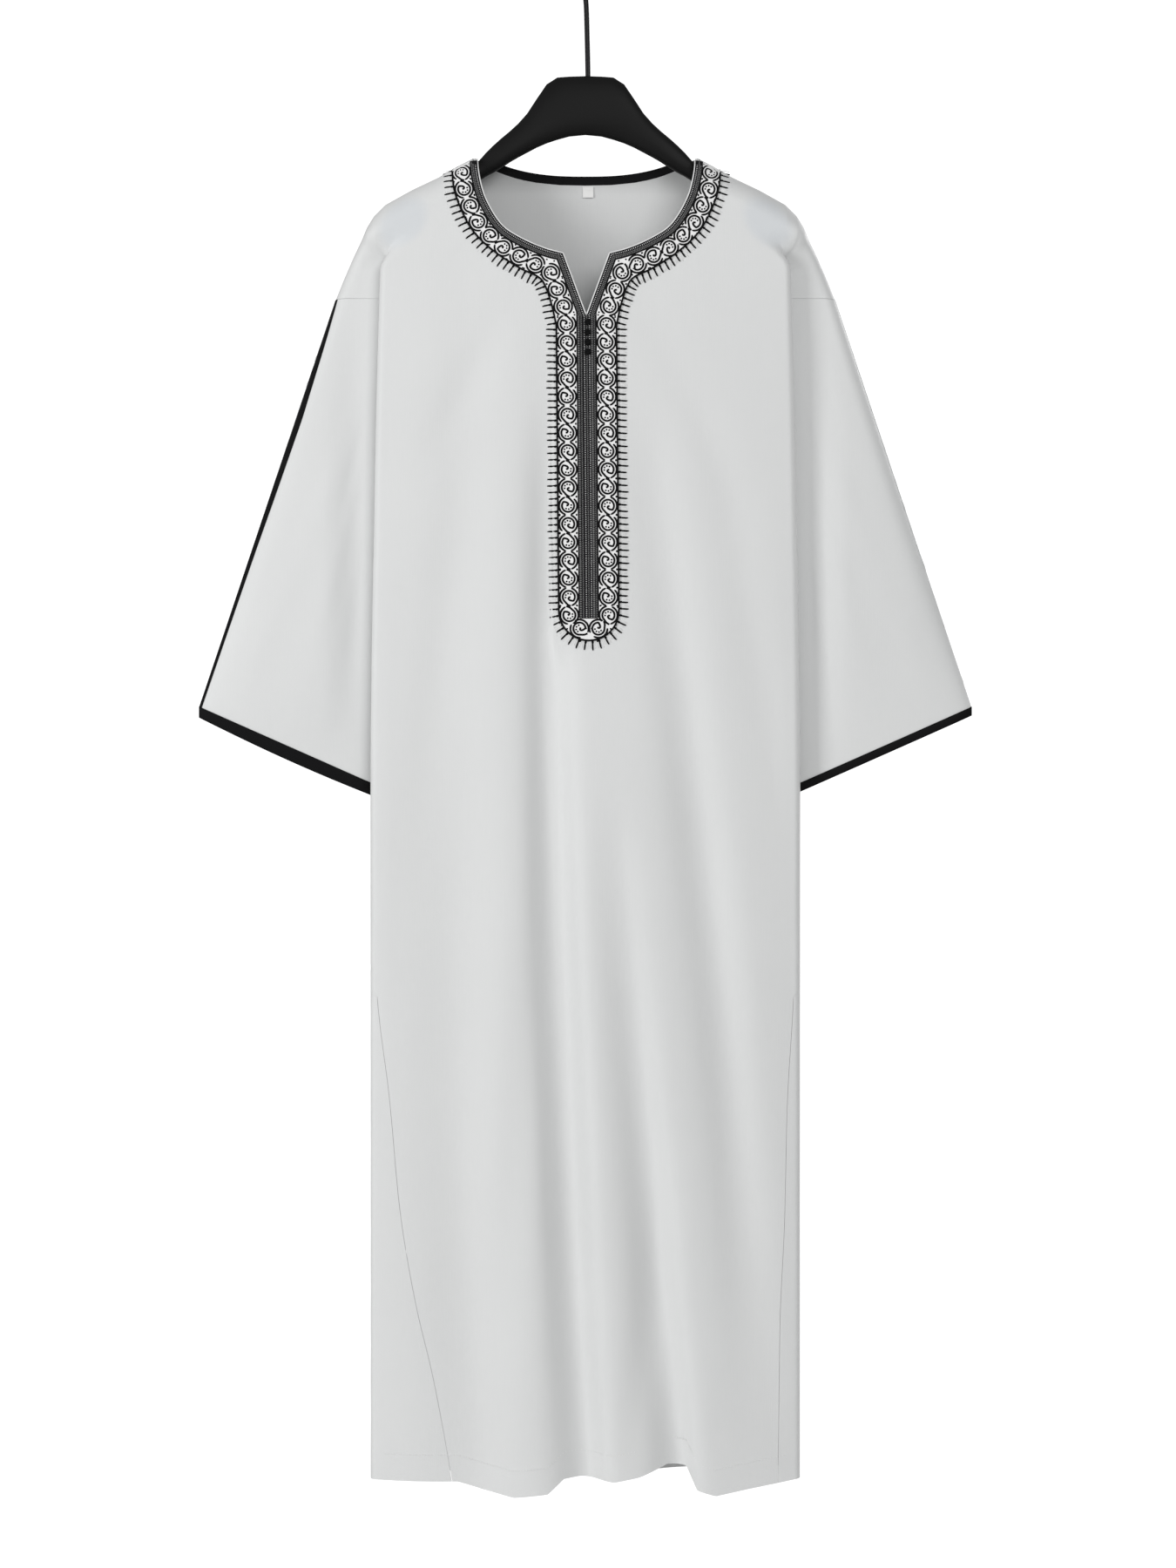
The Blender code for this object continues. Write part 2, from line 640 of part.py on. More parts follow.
def front_skin(name, rise, thickness, home):
    """The upper middle of the front panel's own surface, lifted off it and given a thickness."""
    mesh = body_panel_mesh(name, -1, FRONT_COLUMNS)
    shape = bmesh.new()
    shape.from_mesh(mesh)
    bmesh.ops.delete(
        shape,
        geom=[f for f in shape.faces if f.calc_center_median().z < -0.84 or abs(f.calc_center_median().x) > 0.19],
        context="FACES",
    )
    shape.normal_update()
    lifted = [(vertex, vertex.co + vertex.normal * rise * MM) for vertex in shape.verts]
    for vertex, place in lifted:
        vertex.co = place
    shape.to_mesh(mesh)
    shape.free()
    skin = bpy.data.objects.new(name, mesh)
    skin.hide_render = True
    skin.display_type = "WIRE"
    home.objects.link(skin)
    wall(skin, thickness, 1.0)
    return skin


def sewn_on(name, outline, thickness, finish, home, helpers):
    """A piece of trimming: the front's surface inside an outline."""
    skin = front_skin(name + "_skin", LAID_ON, thickness, helpers)
    cut = skin.modifiers.new("outline", "BOOLEAN")
    cut.operation = "INTERSECT"
    cut.use_self = True
    cut.object = prism(name + "_outline", outline, helpers)
    bpy.context.view_layer.update()
    graph = bpy.context.evaluated_depsgraph_get()
    mesh = bpy.data.meshes.new_from_object(skin.evaluated_get(graph))
    mesh.name = name
    bpy.data.objects.remove(skin, do_unlink=True)
    return object_from(name, mesh, finish, home)


def band_outline():
    inner = braid_line(BRAID_WIDTH + SEAM)
    turn, foot = inner[-2:]
    edge = PLACKET_HALF + SEAM
    along = (turn[0] - edge) / (turn[0] - foot[0])
    inner = [*inner[:-1], (edge, turn[1] + (foot[1] - turn[1]) * along), (edge, PLACKET_FOOT_Z - SEAM)]
    outer = [(BAND_OUTER[0].x + 2.0, NECK_TOP_Z + 12.0), *BAND_OUTER]
    round_z = BAND_FOOT_Z + BAND_HALF
    outer += [
        (BAND_HALF * math.cos(a), round_z - BAND_HALF * math.sin(a)) for a in np.linspace(0.0, math.pi / 2, 9)
    ]
    right = drifted(outer, 1) + drifted(outer[:-1], -1)[::-1]
    return right + drifted(inner, -1) + drifted(inner, 1)[::-1]


def neck_braid_outline(side):
    inner = clip_below(braid_line(0.6), -403.4)
    outer = clip_below(braid_line(BRAID_WIDTH), -403.4)
    return drifted(inner, side) + drifted(outer, side)[::-1]


def placket_outline():
    top = -403.4 - SEAM
    corners = [(PLACKET_HALF, top), (PLACKET_HALF, PLACKET_FOOT_Z)]
    return drifted(corners, 1) + drifted(corners[::-1], -1)


def make_button(name, z, finish, home):
    bpy.ops.mesh.primitive_uv_sphere_add(segments=10, ring_count=6, radius=BUTTON_RADIUS * MM)
    button = bpy.context.object
    button.name = name
    out = cloth_depth(-1, BUTTON_X, z) + LAID_ON + BRAID_RISE + 0.4 + BUTTON_RADIUS * 0.75
    button.location = Vector((BUTTON_X, -out, z)) * MM
    button.scale = (1.05, 0.75, 0.92)
    move_home(button, finish, home)
    return button


def move_home(piece, finish, home):
    for owner in list(piece.users_collection):
        owner.objects.unlink(piece)
    home.objects.link(piece)
    piece.data.materials.clear()
    piece.data.materials.append(finish)
    piece.data.shade_smooth()


def make_label(name, finish, home):
    x, z = LABEL_CENTRE
    inside = min(cloth_depth(1, x, z + LABEL[1] * k) for k in (-0.5, 0.0, 0.5)) - WALL - 0.9
    bpy.ops.mesh.primitive_cube_add(size=1.0)
    label = bpy.context.object
    label.name = name
    lean = math.atan2(cloth_depth(1, x, z - LABEL[1] / 2) - cloth_depth(1, x, z + LABEL[1] / 2), LABEL[1])
    label.dimensions = (LABEL[0] * MM, 0.6 * MM, LABEL[1] * MM)
    label.rotation_euler = (lean, 0.0, 0.0)
    middle = 0.5 * (cloth_depth(1, x, z - LABEL[1] / 2) + cloth_depth(1, x, z + LABEL[1] / 2))
    label.location = Vector((x, min(middle - WALL - 0.9, inside + 3.0), z)) * MM
    move_home(label, finish, home)
    label.data.shade_flat()
    return label


def make_hanger_body(name, finish, home, helpers):
    """A loft along the arms: rounded sections, thin at the middle and flared at the ends."""
    stations = [Arm(-arm.x, *arm[1:]) for arm in HANGER[:0:-1]] + list(HANGER)
    rings = []
    for arm in stations:
        middle, high = 0.5 * (arm.top + arm.bottom), 0.5 * (arm.top - arm.bottom)
        ring = []
        for k in range(HANGER_SIDES):
            angle = 2.0 * math.pi * (k + 0.5) / HANGER_SIDES
            c, s = math.cos(angle), math.sin(angle)
            bulge = (abs(c) ** 2.6 + abs(s) ** 2.6) ** (-1 / 2.6)
            top = math.sin(math.pi / 2 - math.pi / HANGER_SIDES)
            reach = (abs(math.cos(math.asin(top))) ** 2.6 + top ** 2.6) ** (-1 / 2.6) * top
            ring.append((arm.x, arm.half * c * bulge, middle + high * s * bulge / reach))
        rings.append(ring)
    points, numbers = number_rows(rings)
    faces = grid_faces([ring + ring[:1] for ring in numbers], -1)
    faces += [numbers[0], numbers[-1][::-1]]
    body = object_from(name, mesh_of(name, points, faces), finish, home)
    shape = bmesh.new()
    shape.from_mesh(body.data)
    bmesh.ops.recalc_face_normals(shape, faces=shape.faces)
    shape.to_mesh(body.data)
    shape.free()
    bpy.ops.mesh.primitive_cylinder_add(vertices=16, radius=(WIRE + 0.45) * MM, depth=2 * SOCKET_DEPTH * MM)
    socket = bpy.context.object
    socket.name = "hook_socket"
    socket.location = Vector((STEM_X, 0.0, HANGER[0].top)) * MM
    socket.hide_render = True
    socket.display_type = "WIRE"
    move_home(socket, finish, helpers)
    cut = body.modifiers.new("socket", "BOOLEAN")
    cut.operation = "DIFFERENCE"
    cut.object = socket
    return body


def make_hook(name, finish, home):
    """One wire: a long stem, a bend to the left and three quarters of a ring over the rail."""
    ring = HOOK_INSIDE + WIRE
    line = [(STEM_X, HANGER[0].top - SOCKET_DEPTH + 0.4), (STEM_X, -150.0), (STEM_X * 0.7, -110.0)]
    line += [(STEM_X * 0.25, -74.0), (-2.0, -62.0), (-9.0, -52.5), (-17.0, -44.0), (-22.5, -34.0)]
    line += [
        (-ring * math.cos(a), -HOOK_INSIDE + ring * math.sin(a)) for a in np.linspace(0.0, math.radians(205.0), 15)
    ]
    data = bpy.data.curves.new(name, "CURVE")
    data.dimensions = "3D"
    data.bevel_depth = WIRE * MM
    data.bevel_resolution = 2
    data.use_fill_caps = True
    spline = data.splines.new("POLY")
    spline.points.add(len(line) - 1)
    for point, (x, z) in zip(spline.points, line):
        point.co = (x * MM, 0.0, z * MM, 1.0)
    hook = bpy.data.objects.new(name, data)
    home.objects.link(hook)
    data.materials.append(finish)
    return hook


def make_robe():
    clear_scene()
    home = bpy.data.collections.new("embroidered_robe")
    helpers = bpy.data.collections.new("cutters")
    for group in (home, helpers):
        bpy.context.scene.collection.children.link(group)
    cloth = material("robe_cloth", (0.80, 0.81, 0.81), 0.45)
    trim = material("black_trim", (0.012, 0.012, 0.013), 0.55)
    ground = material("embroidery", (0.62, 0.63, 0.62), 0.6)
    braid = material("braid", (0.06, 0.06, 0.06), 0.5)
    label = material("label", (0.85, 0.85, 0.84), 0.7)
    plastic = material("hanger", (0.008, 0.008, 0.008), 0.38)
    wire = material("hook", (0.01, 0.01, 0.01), 0.3, 0.4)

    make_body_panel("body_front", -1, FRONT_COLUMNS, cloth, home)
    make_body_panel("body_back", 1, BACK_COLUMNS, cloth, home)
    for side, word in ((-1, "left"), (1, "right")):
        make_gore("gore_" + word, side, cloth, home)
        make_sleeve_half(f"sleeve_{word}_front", -1, side, cloth, home)
        make_sleeve_half(f"sleeve_{word}_back", 1, side, cloth, home)
        make_cuff_binding("cuff_binding_" + word, side, trim, home)
        make_sleeve_tape("sleeve_tape_" + word, side, side, trim, home)
        sewn_on("neck_braid_" + word, neck_braid_outline(side), BRAID_RISE, braid, home, helpers)
    make_back_binding("back_neck_binding", trim, home)
    sewn_on("motif_band", band_outline(), BAND_RISE, ground, home, helpers)
    sewn_on("placket_braid", placket_outline(), BRAID_RISE, braid, home, helpers)
    for number, z in enumerate(BUTTON_Z, 1):
        make_button(f"button_{number}", z, trim, home)
    make_label("size_label", label, home)
    make_hanger_body("hanger_body", plastic, home, helpers)
    make_hook("hanger_hook", wire, home)


make_robe()
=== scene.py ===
import math

import bmesh
import bpy
import numpy as np
from mathutils import Matrix, Vector


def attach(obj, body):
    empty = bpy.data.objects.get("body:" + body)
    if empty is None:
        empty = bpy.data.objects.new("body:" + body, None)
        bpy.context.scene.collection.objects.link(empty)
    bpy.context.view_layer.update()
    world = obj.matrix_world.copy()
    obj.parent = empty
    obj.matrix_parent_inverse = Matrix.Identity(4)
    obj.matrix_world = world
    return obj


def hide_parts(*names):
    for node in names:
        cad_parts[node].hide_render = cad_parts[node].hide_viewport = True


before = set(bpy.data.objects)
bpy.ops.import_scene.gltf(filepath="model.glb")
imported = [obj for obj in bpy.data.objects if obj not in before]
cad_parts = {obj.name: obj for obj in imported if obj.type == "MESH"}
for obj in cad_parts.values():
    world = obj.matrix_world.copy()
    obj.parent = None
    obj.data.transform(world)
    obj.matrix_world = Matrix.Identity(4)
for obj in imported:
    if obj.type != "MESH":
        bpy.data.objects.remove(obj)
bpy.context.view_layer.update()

# Lengths are in millimetres, +Z up, and the robe's front faces -Y. The tables of the cloth hold the same
# levels, sections and edges as the solids, so that each piece lies where its solid does.
mm = 0.001
seam = 0.3    # between two sewn pieces

# The camera and the room

room = {"cameraX": 2.7, "cameraZ": -880.8, "cameraAway": 3000.0, "viewHeight": 1620.0, "film": 36.0,
        "floorZ": -2100.0, "floorRadius": 1450.0, "skyLight": 0.35, "skySeen": 1.15}
lamps = {
    "window": {"at": (-3.0, -2.2, -0.3), "size": (1.2, 2.4), "watts": 74.0},
    "front": {"at": (1.2, -3.3, 0.5), "size": (2.0, 1.6), "watts": 52.0},
    "behind": {"at": (2.4, 2.4, 0.2), "size": (1.6, 1.6), "watts": 50.0},
}


def addCamera():
    lens = bpy.data.cameras.new("roomCamera")
    lens.sensor_fit = "VERTICAL"
    lens.sensor_height = room["film"]
    lens.lens = room["film"] * room["cameraAway"] / room["viewHeight"]
    lens.clip_end = 30.0
    camera = bpy.data.objects.new("roomCamera", lens)
    camera.location = Vector((room["cameraX"], -room["cameraAway"], room["cameraZ"])) * mm
    camera.rotation_euler = (math.pi / 2, 0.0, 0.0)
    bpy.context.scene.collection.objects.link(camera)
    bpy.context.scene.camera = camera


def addLamps():
    middle = Vector((0.0, 0.0, room["cameraZ"] * mm))
    for name, lamp in lamps.items():
        light = bpy.data.lights.new(name + "Lamp", "AREA")
        light.shape = "RECTANGLE"
        light.size, light.size_y = lamp["size"]
        light.energy = lamp["watts"]
        holder = bpy.data.objects.new(name + "Lamp", light)
        holder.location = lamp["at"]
        holder.rotation_euler = (middle - Vector(lamp["at"])).to_track_quat("-Z", "Y").to_euler()
        bpy.context.scene.collection.objects.link(holder)


# Node trees. A Wire is one socket, and an expression on Wires adds its Math nodes.

class Wire:
    def __init__(self, tree, socket):
        self.tree = tree
        self.socket = socket

    def also(self, name):
        return Wire(self.tree, self.socket.node.outputs[name])

    def maths(self, operation, first, second=0.0):
        return addNode(self.tree, "ShaderNodeMath", {"operation": operation}, {0: first, 1: second})

    def __add__(self, other):
        return self.maths("ADD", self, other)

    def __sub__(self, other):
        return self.maths("SUBTRACT", self, other)

    def __rsub__(self, other):
        return self.maths("SUBTRACT", other, self)

    def __mul__(self, other):
        return self.maths("MULTIPLY", self, other)

    def __truediv__(self, other):
        return self.maths("DIVIDE", self, other)

    def __mod__(self, other):
        return self.maths("FLOORED_MODULO", self, other)

    __radd__ = __add__
    __rmul__ = __mul__

    def wave(self, pitch):
        return self.maths("SINE", self * (2.0 * math.pi / pitch)) * 0.5 + 0.5

    def between(self, low, high):
        return addNode(self.tree, "ShaderNodeMapRange", {"interpolation_type": "SMOOTHSTEP"},
                       {"Value": self, "From Min": low, "From Max": high})


def addNode(tree, kind, settings=None, sockets=None, output=0):
    node = tree.nodes.new(kind)
    for name, value in (settings or {}).items():
        setattr(node, name, value)
    for name, value in (sockets or {}).items():
        if isinstance(value, Wire):
            tree.links.new(value.socket, node.inputs[name])
        else:
            node.inputs[name].default_value = value
    return Wire(tree, node.outputs[output]) if len(node.outputs) else node


# Finishes: colour, roughness and bump vary over a surface, and the rest stands on the shader

finishes = {
    "name": ["cotton", "trim", "ground", "blackThread", "whiteThread", "braidBase", "greyThread",
             "labelWeave"],
    "light": [(0.708, 0.716, 0.714), (0.007, 0.007, 0.0075), (0.90, 0.90, 0.90), (0.006, 0.006, 0.0065),
              (0.86, 0.86, 0.86), (0.014, 0.014, 0.015), (0.36, 0.36, 0.36), (0.92, 0.92, 0.91)],
    "dark": [(0.664, 0.672, 0.671), (0.004, 0.004, 0.0045), (0.80, 0.80, 0.80), (0.003, 0.003, 0.0035),
             (0.70, 0.70, 0.70), (0.005, 0.005, 0.006), (0.17, 0.17, 0.17), (0.84, 0.84, 0.83)],
    "patch": [9.0, 60.0, 180.0, 300.0, 300.0, 200.0, 300.0, 90.0],
    "rough": [0.52, 0.7, 0.6, 0.7, 0.55, 0.7, 0.55, 0.6],
    "sheen": [0.25, 0.0, 0.2, 0.0, 0.15, 0.0, 0.15, 0.15],
    "thread": [0.62, 0.8, 0.9, 0.5, 0.5, 0.9, 0.5, 0.5],
    "bump": [0.00008, 0.00012, 0.0002, 0.0001, 0.0001, 0.00025, 0.0001, 0.0001],
}
weave = {"slubScale": (900.0, 60.0, 40.0), "slubShare": 0.4, "slubHeight": 0.8, "slubRough": 0.12,
         "crumple": 0.0016, "crumpleScale": (11.0, 6.0, 3.2), "bumpStrength": 0.8, "sheenRough": 0.5,
         "gloss": 0.3, "dullGloss": 0.08}
# Painted shade: where the hanger's flared ends show through the thin cloth, a darker tint is painted into its
# colour
paintedHangerShade = {"x": 186.0, "z": -306.0, "half": 30.0, "lean": 0.35, "full": 0.75, "tint": (0.60, 0.63, 0.66),
                "most": 0.6}


def shader(name):
    finish = bpy.data.materials.new(name)
    finish.use_nodes = True
    tree = finish.node_tree
    tree.nodes.clear()
    body = tree.nodes.new("ShaderNodeBsdfPrincipled")
    end = tree.nodes.new("ShaderNodeOutputMaterial")
    tree.links.new(body.outputs["BSDF"], end.inputs["Surface"])
    return finish, tree, body


def mixColours(tree, share, first, second):
    ends = {0: share, 6: first if isinstance(first, Wire) else (*first, 1.0), 7: (*second, 1.0)}
    return addNode(tree, "ShaderNodeMix", {"data_type": "RGBA"}, ends, 2)


def noise(tree, place, scale, detail=2.0):
    # blotches of one scale, or drawn out where there is a scale for each axis
    if isinstance(scale, tuple):
        place, scale = addNode(tree, "ShaderNodeMapping", None, {"Vector": place, "Scale": scale}), 1.0
    return addNode(tree, "ShaderNodeTexNoise", None, {"Vector": place, "Scale": scale, "Detail": detail})


def bumpOf(tree, height, distance, strength):
    return addNode(tree, "ShaderNodeBump", None,
                   {"Height": height, "Distance": distance, "Strength": strength})


def dress(tree, body, varying, constant):
    for name, wire in varying.items():
        tree.links.new(wire.socket, body.inputs[name])
    for name, value in constant.items():
        body.inputs[name].default_value = value


def clothFinish(name):
    facts = {key: column[finishes["name"].index(name)] for key, column in finishes.items()}
    finish, tree, body = shader(name)
    place = addNode(tree, "ShaderNodeTexCoord", output="Object")
    x = addNode(tree, "ShaderNodeSeparateXYZ", None, {0: place}, "X")
    z = x.also("Z")
    slubs = noise(tree, place, weave["slubScale"])
    threads = x.wave(facts["thread"] * mm) * 0.5 + z.wave(facts["thread"] * mm) * 0.5
    share = noise(tree, place, facts["patch"], 3.0) * (1.0 - weave["slubShare"]) + slubs * weave["slubShare"]
    colour = mixColours(tree, share, facts["dark"], facts["light"])
    height = threads + slubs * weave["slubHeight"]
    if name == "cotton":
        # painted shade of the hanger's ends seen through the cloth, mixed into the cotton's colour over the
        # shoulders
        across = (x.maths("ABSOLUTE", x) / mm - paintedHangerShade["x"]) / paintedHangerShade["half"]
        up = (z / mm - paintedHangerShade["z"]) / paintedHangerShade["half"] + across * paintedHangerShade["lean"]
        near = (1.0 - (across * across + up * up)).between(0.0, paintedHangerShade["full"])
        colour = mixColours(tree, near * paintedHangerShade["most"], colour, paintedHangerShade["tint"])
        height = height + noise(tree, place, weave["crumpleScale"], 2.5) * (weave["crumple"] / facts["bump"])
    dress(tree, body, {
        "Base Color": colour, "Normal": bumpOf(tree, height, facts["bump"], weave["bumpStrength"]),
        "Roughness": slubs * weave["slubRough"] + (facts["rough"] - 0.5 * weave["slubRough"])}, {
        "Sheen Weight": facts["sheen"], "Sheen Roughness": weave["sheenRough"],
        "Specular IOR Level": weave["gloss"] if facts["sheen"] else weave["dullGloss"]})
    finish.diffuse_color = (*facts["light"], 1.0)
    return finish


hard = {
    "hanger": {"light": (0.008, 0.008, 0.008), "dark": (0.005, 0.005, 0.005), "rough": 0.5, "grain": 900.0,
               "bump": 0.00006, "metal": 0.0},
    "hook": {"light": (0.014, 0.014, 0.015), "dark": (0.009, 0.009, 0.009), "rough": 0.3, "grain": 260.0,
             "bump": 0.00003, "metal": 0.3},
}
wearing = {"scale": 14.0, "rough": 0.16, "bumpStrength": 0.6, "gloss": 0.12}


def hardFinish(name):
    facts = hard[name]
    finish, tree, body = shader(name + "Finish")
    place = addNode(tree, "ShaderNodeTexCoord", output="Object")
    grain = noise(tree, place, facts["grain"], 3.0)
    wear = noise(tree, place, wearing["scale"], 4.0)
    dress(tree, body, {
        "Base Color": mixColours(tree, wear, facts["dark"], facts["light"]),
        "Roughness": wear * wearing["rough"] + (facts["rough"] - 0.5 * wearing["rough"]),
        "Normal": bumpOf(tree, grain, facts["bump"], wearing["bumpStrength"])}, {
        "Metallic": facts["metal"], "Specular IOR Level": wearing["gloss"]})
    finish.diffuse_color = (*facts["light"], 1.0)
    return finish


def floorFinish():
    finish, tree, body = shader("paleFloor")
    grain = noise(tree, addNode(tree, "ShaderNodeTexCoord", output="Object"), 3.0)
    dress(tree, body, {"Base Color": mixColours(tree, grain, (0.80, 0.80, 0.80), (0.84, 0.84, 0.84))},
          {"Roughness": 0.8})
    return finish


def addRoom():
    bpy.ops.mesh.primitive_circle_add(vertices=96, radius=room["floorRadius"] * mm, fill_type="NGON")
    floor = bpy.context.object
    floor.name = "paleFloor"
    floor.data.transform(Matrix.Translation((0.0, 0.0, room["floorZ"] * mm)))
    floor.data.materials.append(floorFinish())
    sky = bpy.data.worlds.new("paleRoom")
    sky.use_nodes = True
    tree = sky.node_tree
    tree.nodes.clear()
    seen = addNode(tree, "ShaderNodeLightPath", output="Is Camera Ray")
    strength = seen * (room["skySeen"] - room["skyLight"]) + room["skyLight"]
    light = addNode(tree, "ShaderNodeBackground", None, {"Color": (1.0, 1.0, 1.0, 1.0), "Strength": strength})
    addNode(tree, "ShaderNodeOutputWorld", None, {"Surface": light})
    bpy.context.scene.world = sky
    bpy.context.scene.view_settings.view_transform = "Standard"


# How the robe hangs. Each table is a set of columns, read by height or by distance from the middle.

levels = {"neckTop": -235.5, "foldStart": -310.0, "corner": -339.5, "yoke": -381.3, "vBottom": -402.2,
          "backNeck": -256.0, "underarm": -629.0, "placketFoot": -712.0, "bandFoot": -735.0,
          "seamTurns": -1097.0, "hem": -1592.0}
neck = {"half": 112.0, "centre": 1.0, "drift": 2.6, "driftOver": 312.0, "backPower": 2.6, "slit": 0.5}
shoulder = {
    "x": [0.0, 116.5, 131.0, 151.5, 179.0, 206.0, 218.0, 225.0, 229.8, 240.8, 249.5, 258.0],
    "z": [-235.5, -235.5, -243.0, -255.0, -268.0, -283.0, -295.0, -306.5, -318.0, -340.0, -360.0, -381.3],
    "round": 30.0,
}
neckline = {
    "x": [23.5, 43.0, 66.5, 86.5, 102.5, 109.5, 112.0],
    "z": [-339.5, -334.0, -323.5, -309.5, -283.0, -258.0, -235.5],
}
sections = {
    "z": [-1640.0, -1350.0, -1100.0, -960.0, -885.0, -700.0, -660.0, -629.0, -567.0, -450.0, -381.3, -306.5,
          -235.5],
    "foldX": [220.0, 220.0, 220.0, 220.0, 220.0, 218.0, 217.2, 216.5, 215.5, 213.0, 211.0, 208.5, 206.0],
    "edge": [29.0, 29.0, 31.0, 33.0, 34.0, 34.0, 34.0, 34.0, 34.0, 34.0, 33.0, 31.0, 28.0],
    "centre": [52.0, 51.0, 51.0, 51.0, 51.0, 50.0, 50.0, 49.0, 48.0, 46.0, 43.0, 38.0, 32.0],
    "roll": [7.0, 7.0, 7.5, 8.0, 8.0, 8.0, 8.0, 8.0, 8.0, 8.0, 7.5, 6.0, 6.0],
    "pleat": [13.0, 13.0, 15.0, 27.0, 36.0, 37.0, 36.0, 21.0, 20.5, 19.0, 15.0, 8.0, 8.0],
    "gap": [0.0, 0.0, 0.0, 0.0, 0.0, 0.0, 0.0, 14.0, 15.0, 15.0, 15.0, 14.0, 14.0],
}
# Valleys down the front and the back: top and bottom heights, the line's x and depth at three places,
# and the widths to its left and right
frontValleys = {
    "top": [-440.0, -850.0, -450.0, -560.0], "bottom": [-1640.0, -1640.0, -1560.0, -1640.0],
    "x": [(-40.0, -25.0, 5.0), (24.0, 62.0, 100.0), (56.0, 127.0, 190.0), (-160.0, -141.0, -116.0)],
    "depth": [(0.0, 20.0, 21.0), (0.0, 14.0, 19.0), (3.0, 11.0, 0.0), (0.0, 8.0, 9.0)],
    "left": [19.0, 18.0, 20.0, 30.0], "right": [12.0, 12.0, 15.0, 26.0],
}
backValleys = {
    "top": [-420.0, -560.0, -620.0, -700.0], "bottom": [-1640.0, -1640.0, -1640.0, -1640.0],
    "x": [(30.0, 48.0, 22.0), (-60.0, -82.0, -66.0), (128.0, 132.0, 146.0), (-150.0, -156.0, -142.0)],
    "depth": [(0.0, 17.0, 20.0), (0.0, 14.0, 17.0), (0.0, 10.0, 12.0), (0.0, 7.0, 9.0)],
    "left": [14.0, 20.0, 24.0, 22.0], "right": [22.0, 14.0, 18.0, 26.0],
}
goreSeam = {
    "z": [-1610.0, -1556.0, -1479.0, -1421.0, -1340.0, -1196.0, -1097.0, -985.0, -800.0, -629.0],
    "left": [-80.0, -71.0, -56.0, -42.0, -27.0, -12.0, 0.1, 0.6, 1.3, 1.9],
    "right": [-17.0, -16.0, -15.0, -14.0, -10.0, -6.0, 0.05, 0.5, 1.2, 1.9],
    "back": [-50.0, -44.0, -36.0, -31.0, -23.0, -10.0, 0.1, 0.6, 1.3, 1.9],
}
hem = {
    "x": [-220.0, -130.0, -106.0, -73.0, -38.0, -22.0, -5.0, 29.0, 55.0, 84.0, 103.0, 114.0, 133.0, 165.0,
          220.0],
    "z": [-1592.0, -1593.0, -1600.0, -1607.0, -1603.0, -1589.0, -1588.0, -1591.0, -1586.0, -1575.0, -1577.0,
          -1601.0, -1606.0, -1600.0, -1591.0],
    "ramp": 190.0, "turnUp": 27.0, "reach": 205.0, "pitch": 3.2,
}
# Light creases that the solids don't have: a middle, a run, a depth and half widths along and across
creases = {
    "face": [-1, -1, -1, -1, -1, -1, -1, 1, 1, 1, -1, -1, -1, -1, -1, -1],
    "x": [-118.0, 112.0, -150.0, 165.0, 60.0, -70.0, 150.0, -40.0, 60.0, 110.0, -35.0, -123.0, -119.0, -112.0,
          -43.0, -30.0],
    "z": [-470.0, -500.0, -760.0, -700.0, -1450.0, -1250.0, -1320.0, -520.0, -460.0, -900.0, -610.0, -560.0,
          -960.0, -1420.0, -880.0, -1270.0],
    "turn": [62.0, -66.0, 84.0, -80.0, 84.0, 86.0, -86.0, 70.0, -60.0, 86.0, 91.0, 89.0, 91.0, 94.0, 91.0,
             93.0],
    "depth": [2.2, 2.0, 2.6, 2.4, 3.0, 2.4, 2.6, 3.0, 2.6, 3.0, 6.0, 4.0, 4.0, 4.0, 3.2, 3.0],
    "long": [95.0, 110.0, 170.0, 190.0, 150.0, 210.0, 180.0, 120.0, 120.0, 260.0, 150.0, 210.0, 260.0, 230.0,
             200.0, 240.0],
    "wide": [13.0, 14.0, 16.0, 15.0, 13.0, 14.0, 15.0, 16.0, 15.0, 18.0, 14.0, 22.0, 22.0, 20.0, 8.5, 8.5],
    "below": 60.0, "ramp": 60.0,
}
# The panel's bow, where its folds die out towards the side, and the stiff band that stays flat
bow = {"power": 2.2, "calmFrom": 0.86, "calmOver": 0.12, "stiffHalf": 29.0, "stiffEdge": 9.0,
       "stiffBelow": 30.0, "stiffRamp": 50.0}
# The yoke's part beside the neck opens from flat into the side fold, the pleat and the wing under the sleeve
opening = {"ramp": 45.0, "spread": 1.4, "wingDeep": 13.0, "wingEdge": 14.0, "wingSpread": 1.6,
           "armCost": 55.0}


def curveThrough(table, key, name, at):
    keys, values = np.array(table[key], float), np.array(table[name], float)
    slopes = np.gradient(values, keys)
    at = np.clip(at, keys[0], keys[-1])
    i = np.clip(np.searchsorted(keys, at, side="right") - 1, 0, len(keys) - 2)
    step = keys[i + 1] - keys[i]
    t = (at - keys[i]) / step
    curve = values[i] + (values[i + 1] - values[i]) * (3.0 - 2.0 * t) * t * t
    return curve + step * (slopes[i] * t * (1.0 - t) ** 2 - slopes[i + 1] * t * t * (1.0 - t))


def sectionAt(z, *names):
    return [curveThrough(sections, "z", name, z) for name in names]


def smoothLine(line, count):
    # a curve through a line's points
    line = np.asarray(line, float)
    table = {"i": range(len(line)), "x": line[:, 0], "z": line[:, 1]}
    at = np.linspace(0.0, len(line) - 1.0, count)
    return np.stack([curveThrough(table, "i", name, at) for name in ("x", "z")], axis=1)


def ease(value):
    t = np.clip(value, 0.0, 1.0)
    return t * t * (3.0 - 2.0 * t)


def rounded(t):
    t = np.clip(t, 0.0, 1.0)
    return np.sqrt(1.0 - (1.0 - t) ** 2)


def placketX(z):
    return neck["centre"] + neck["drift"] * np.clip((levels["vBottom"] - z) / neck["driftOver"], 0.0, 1.0)


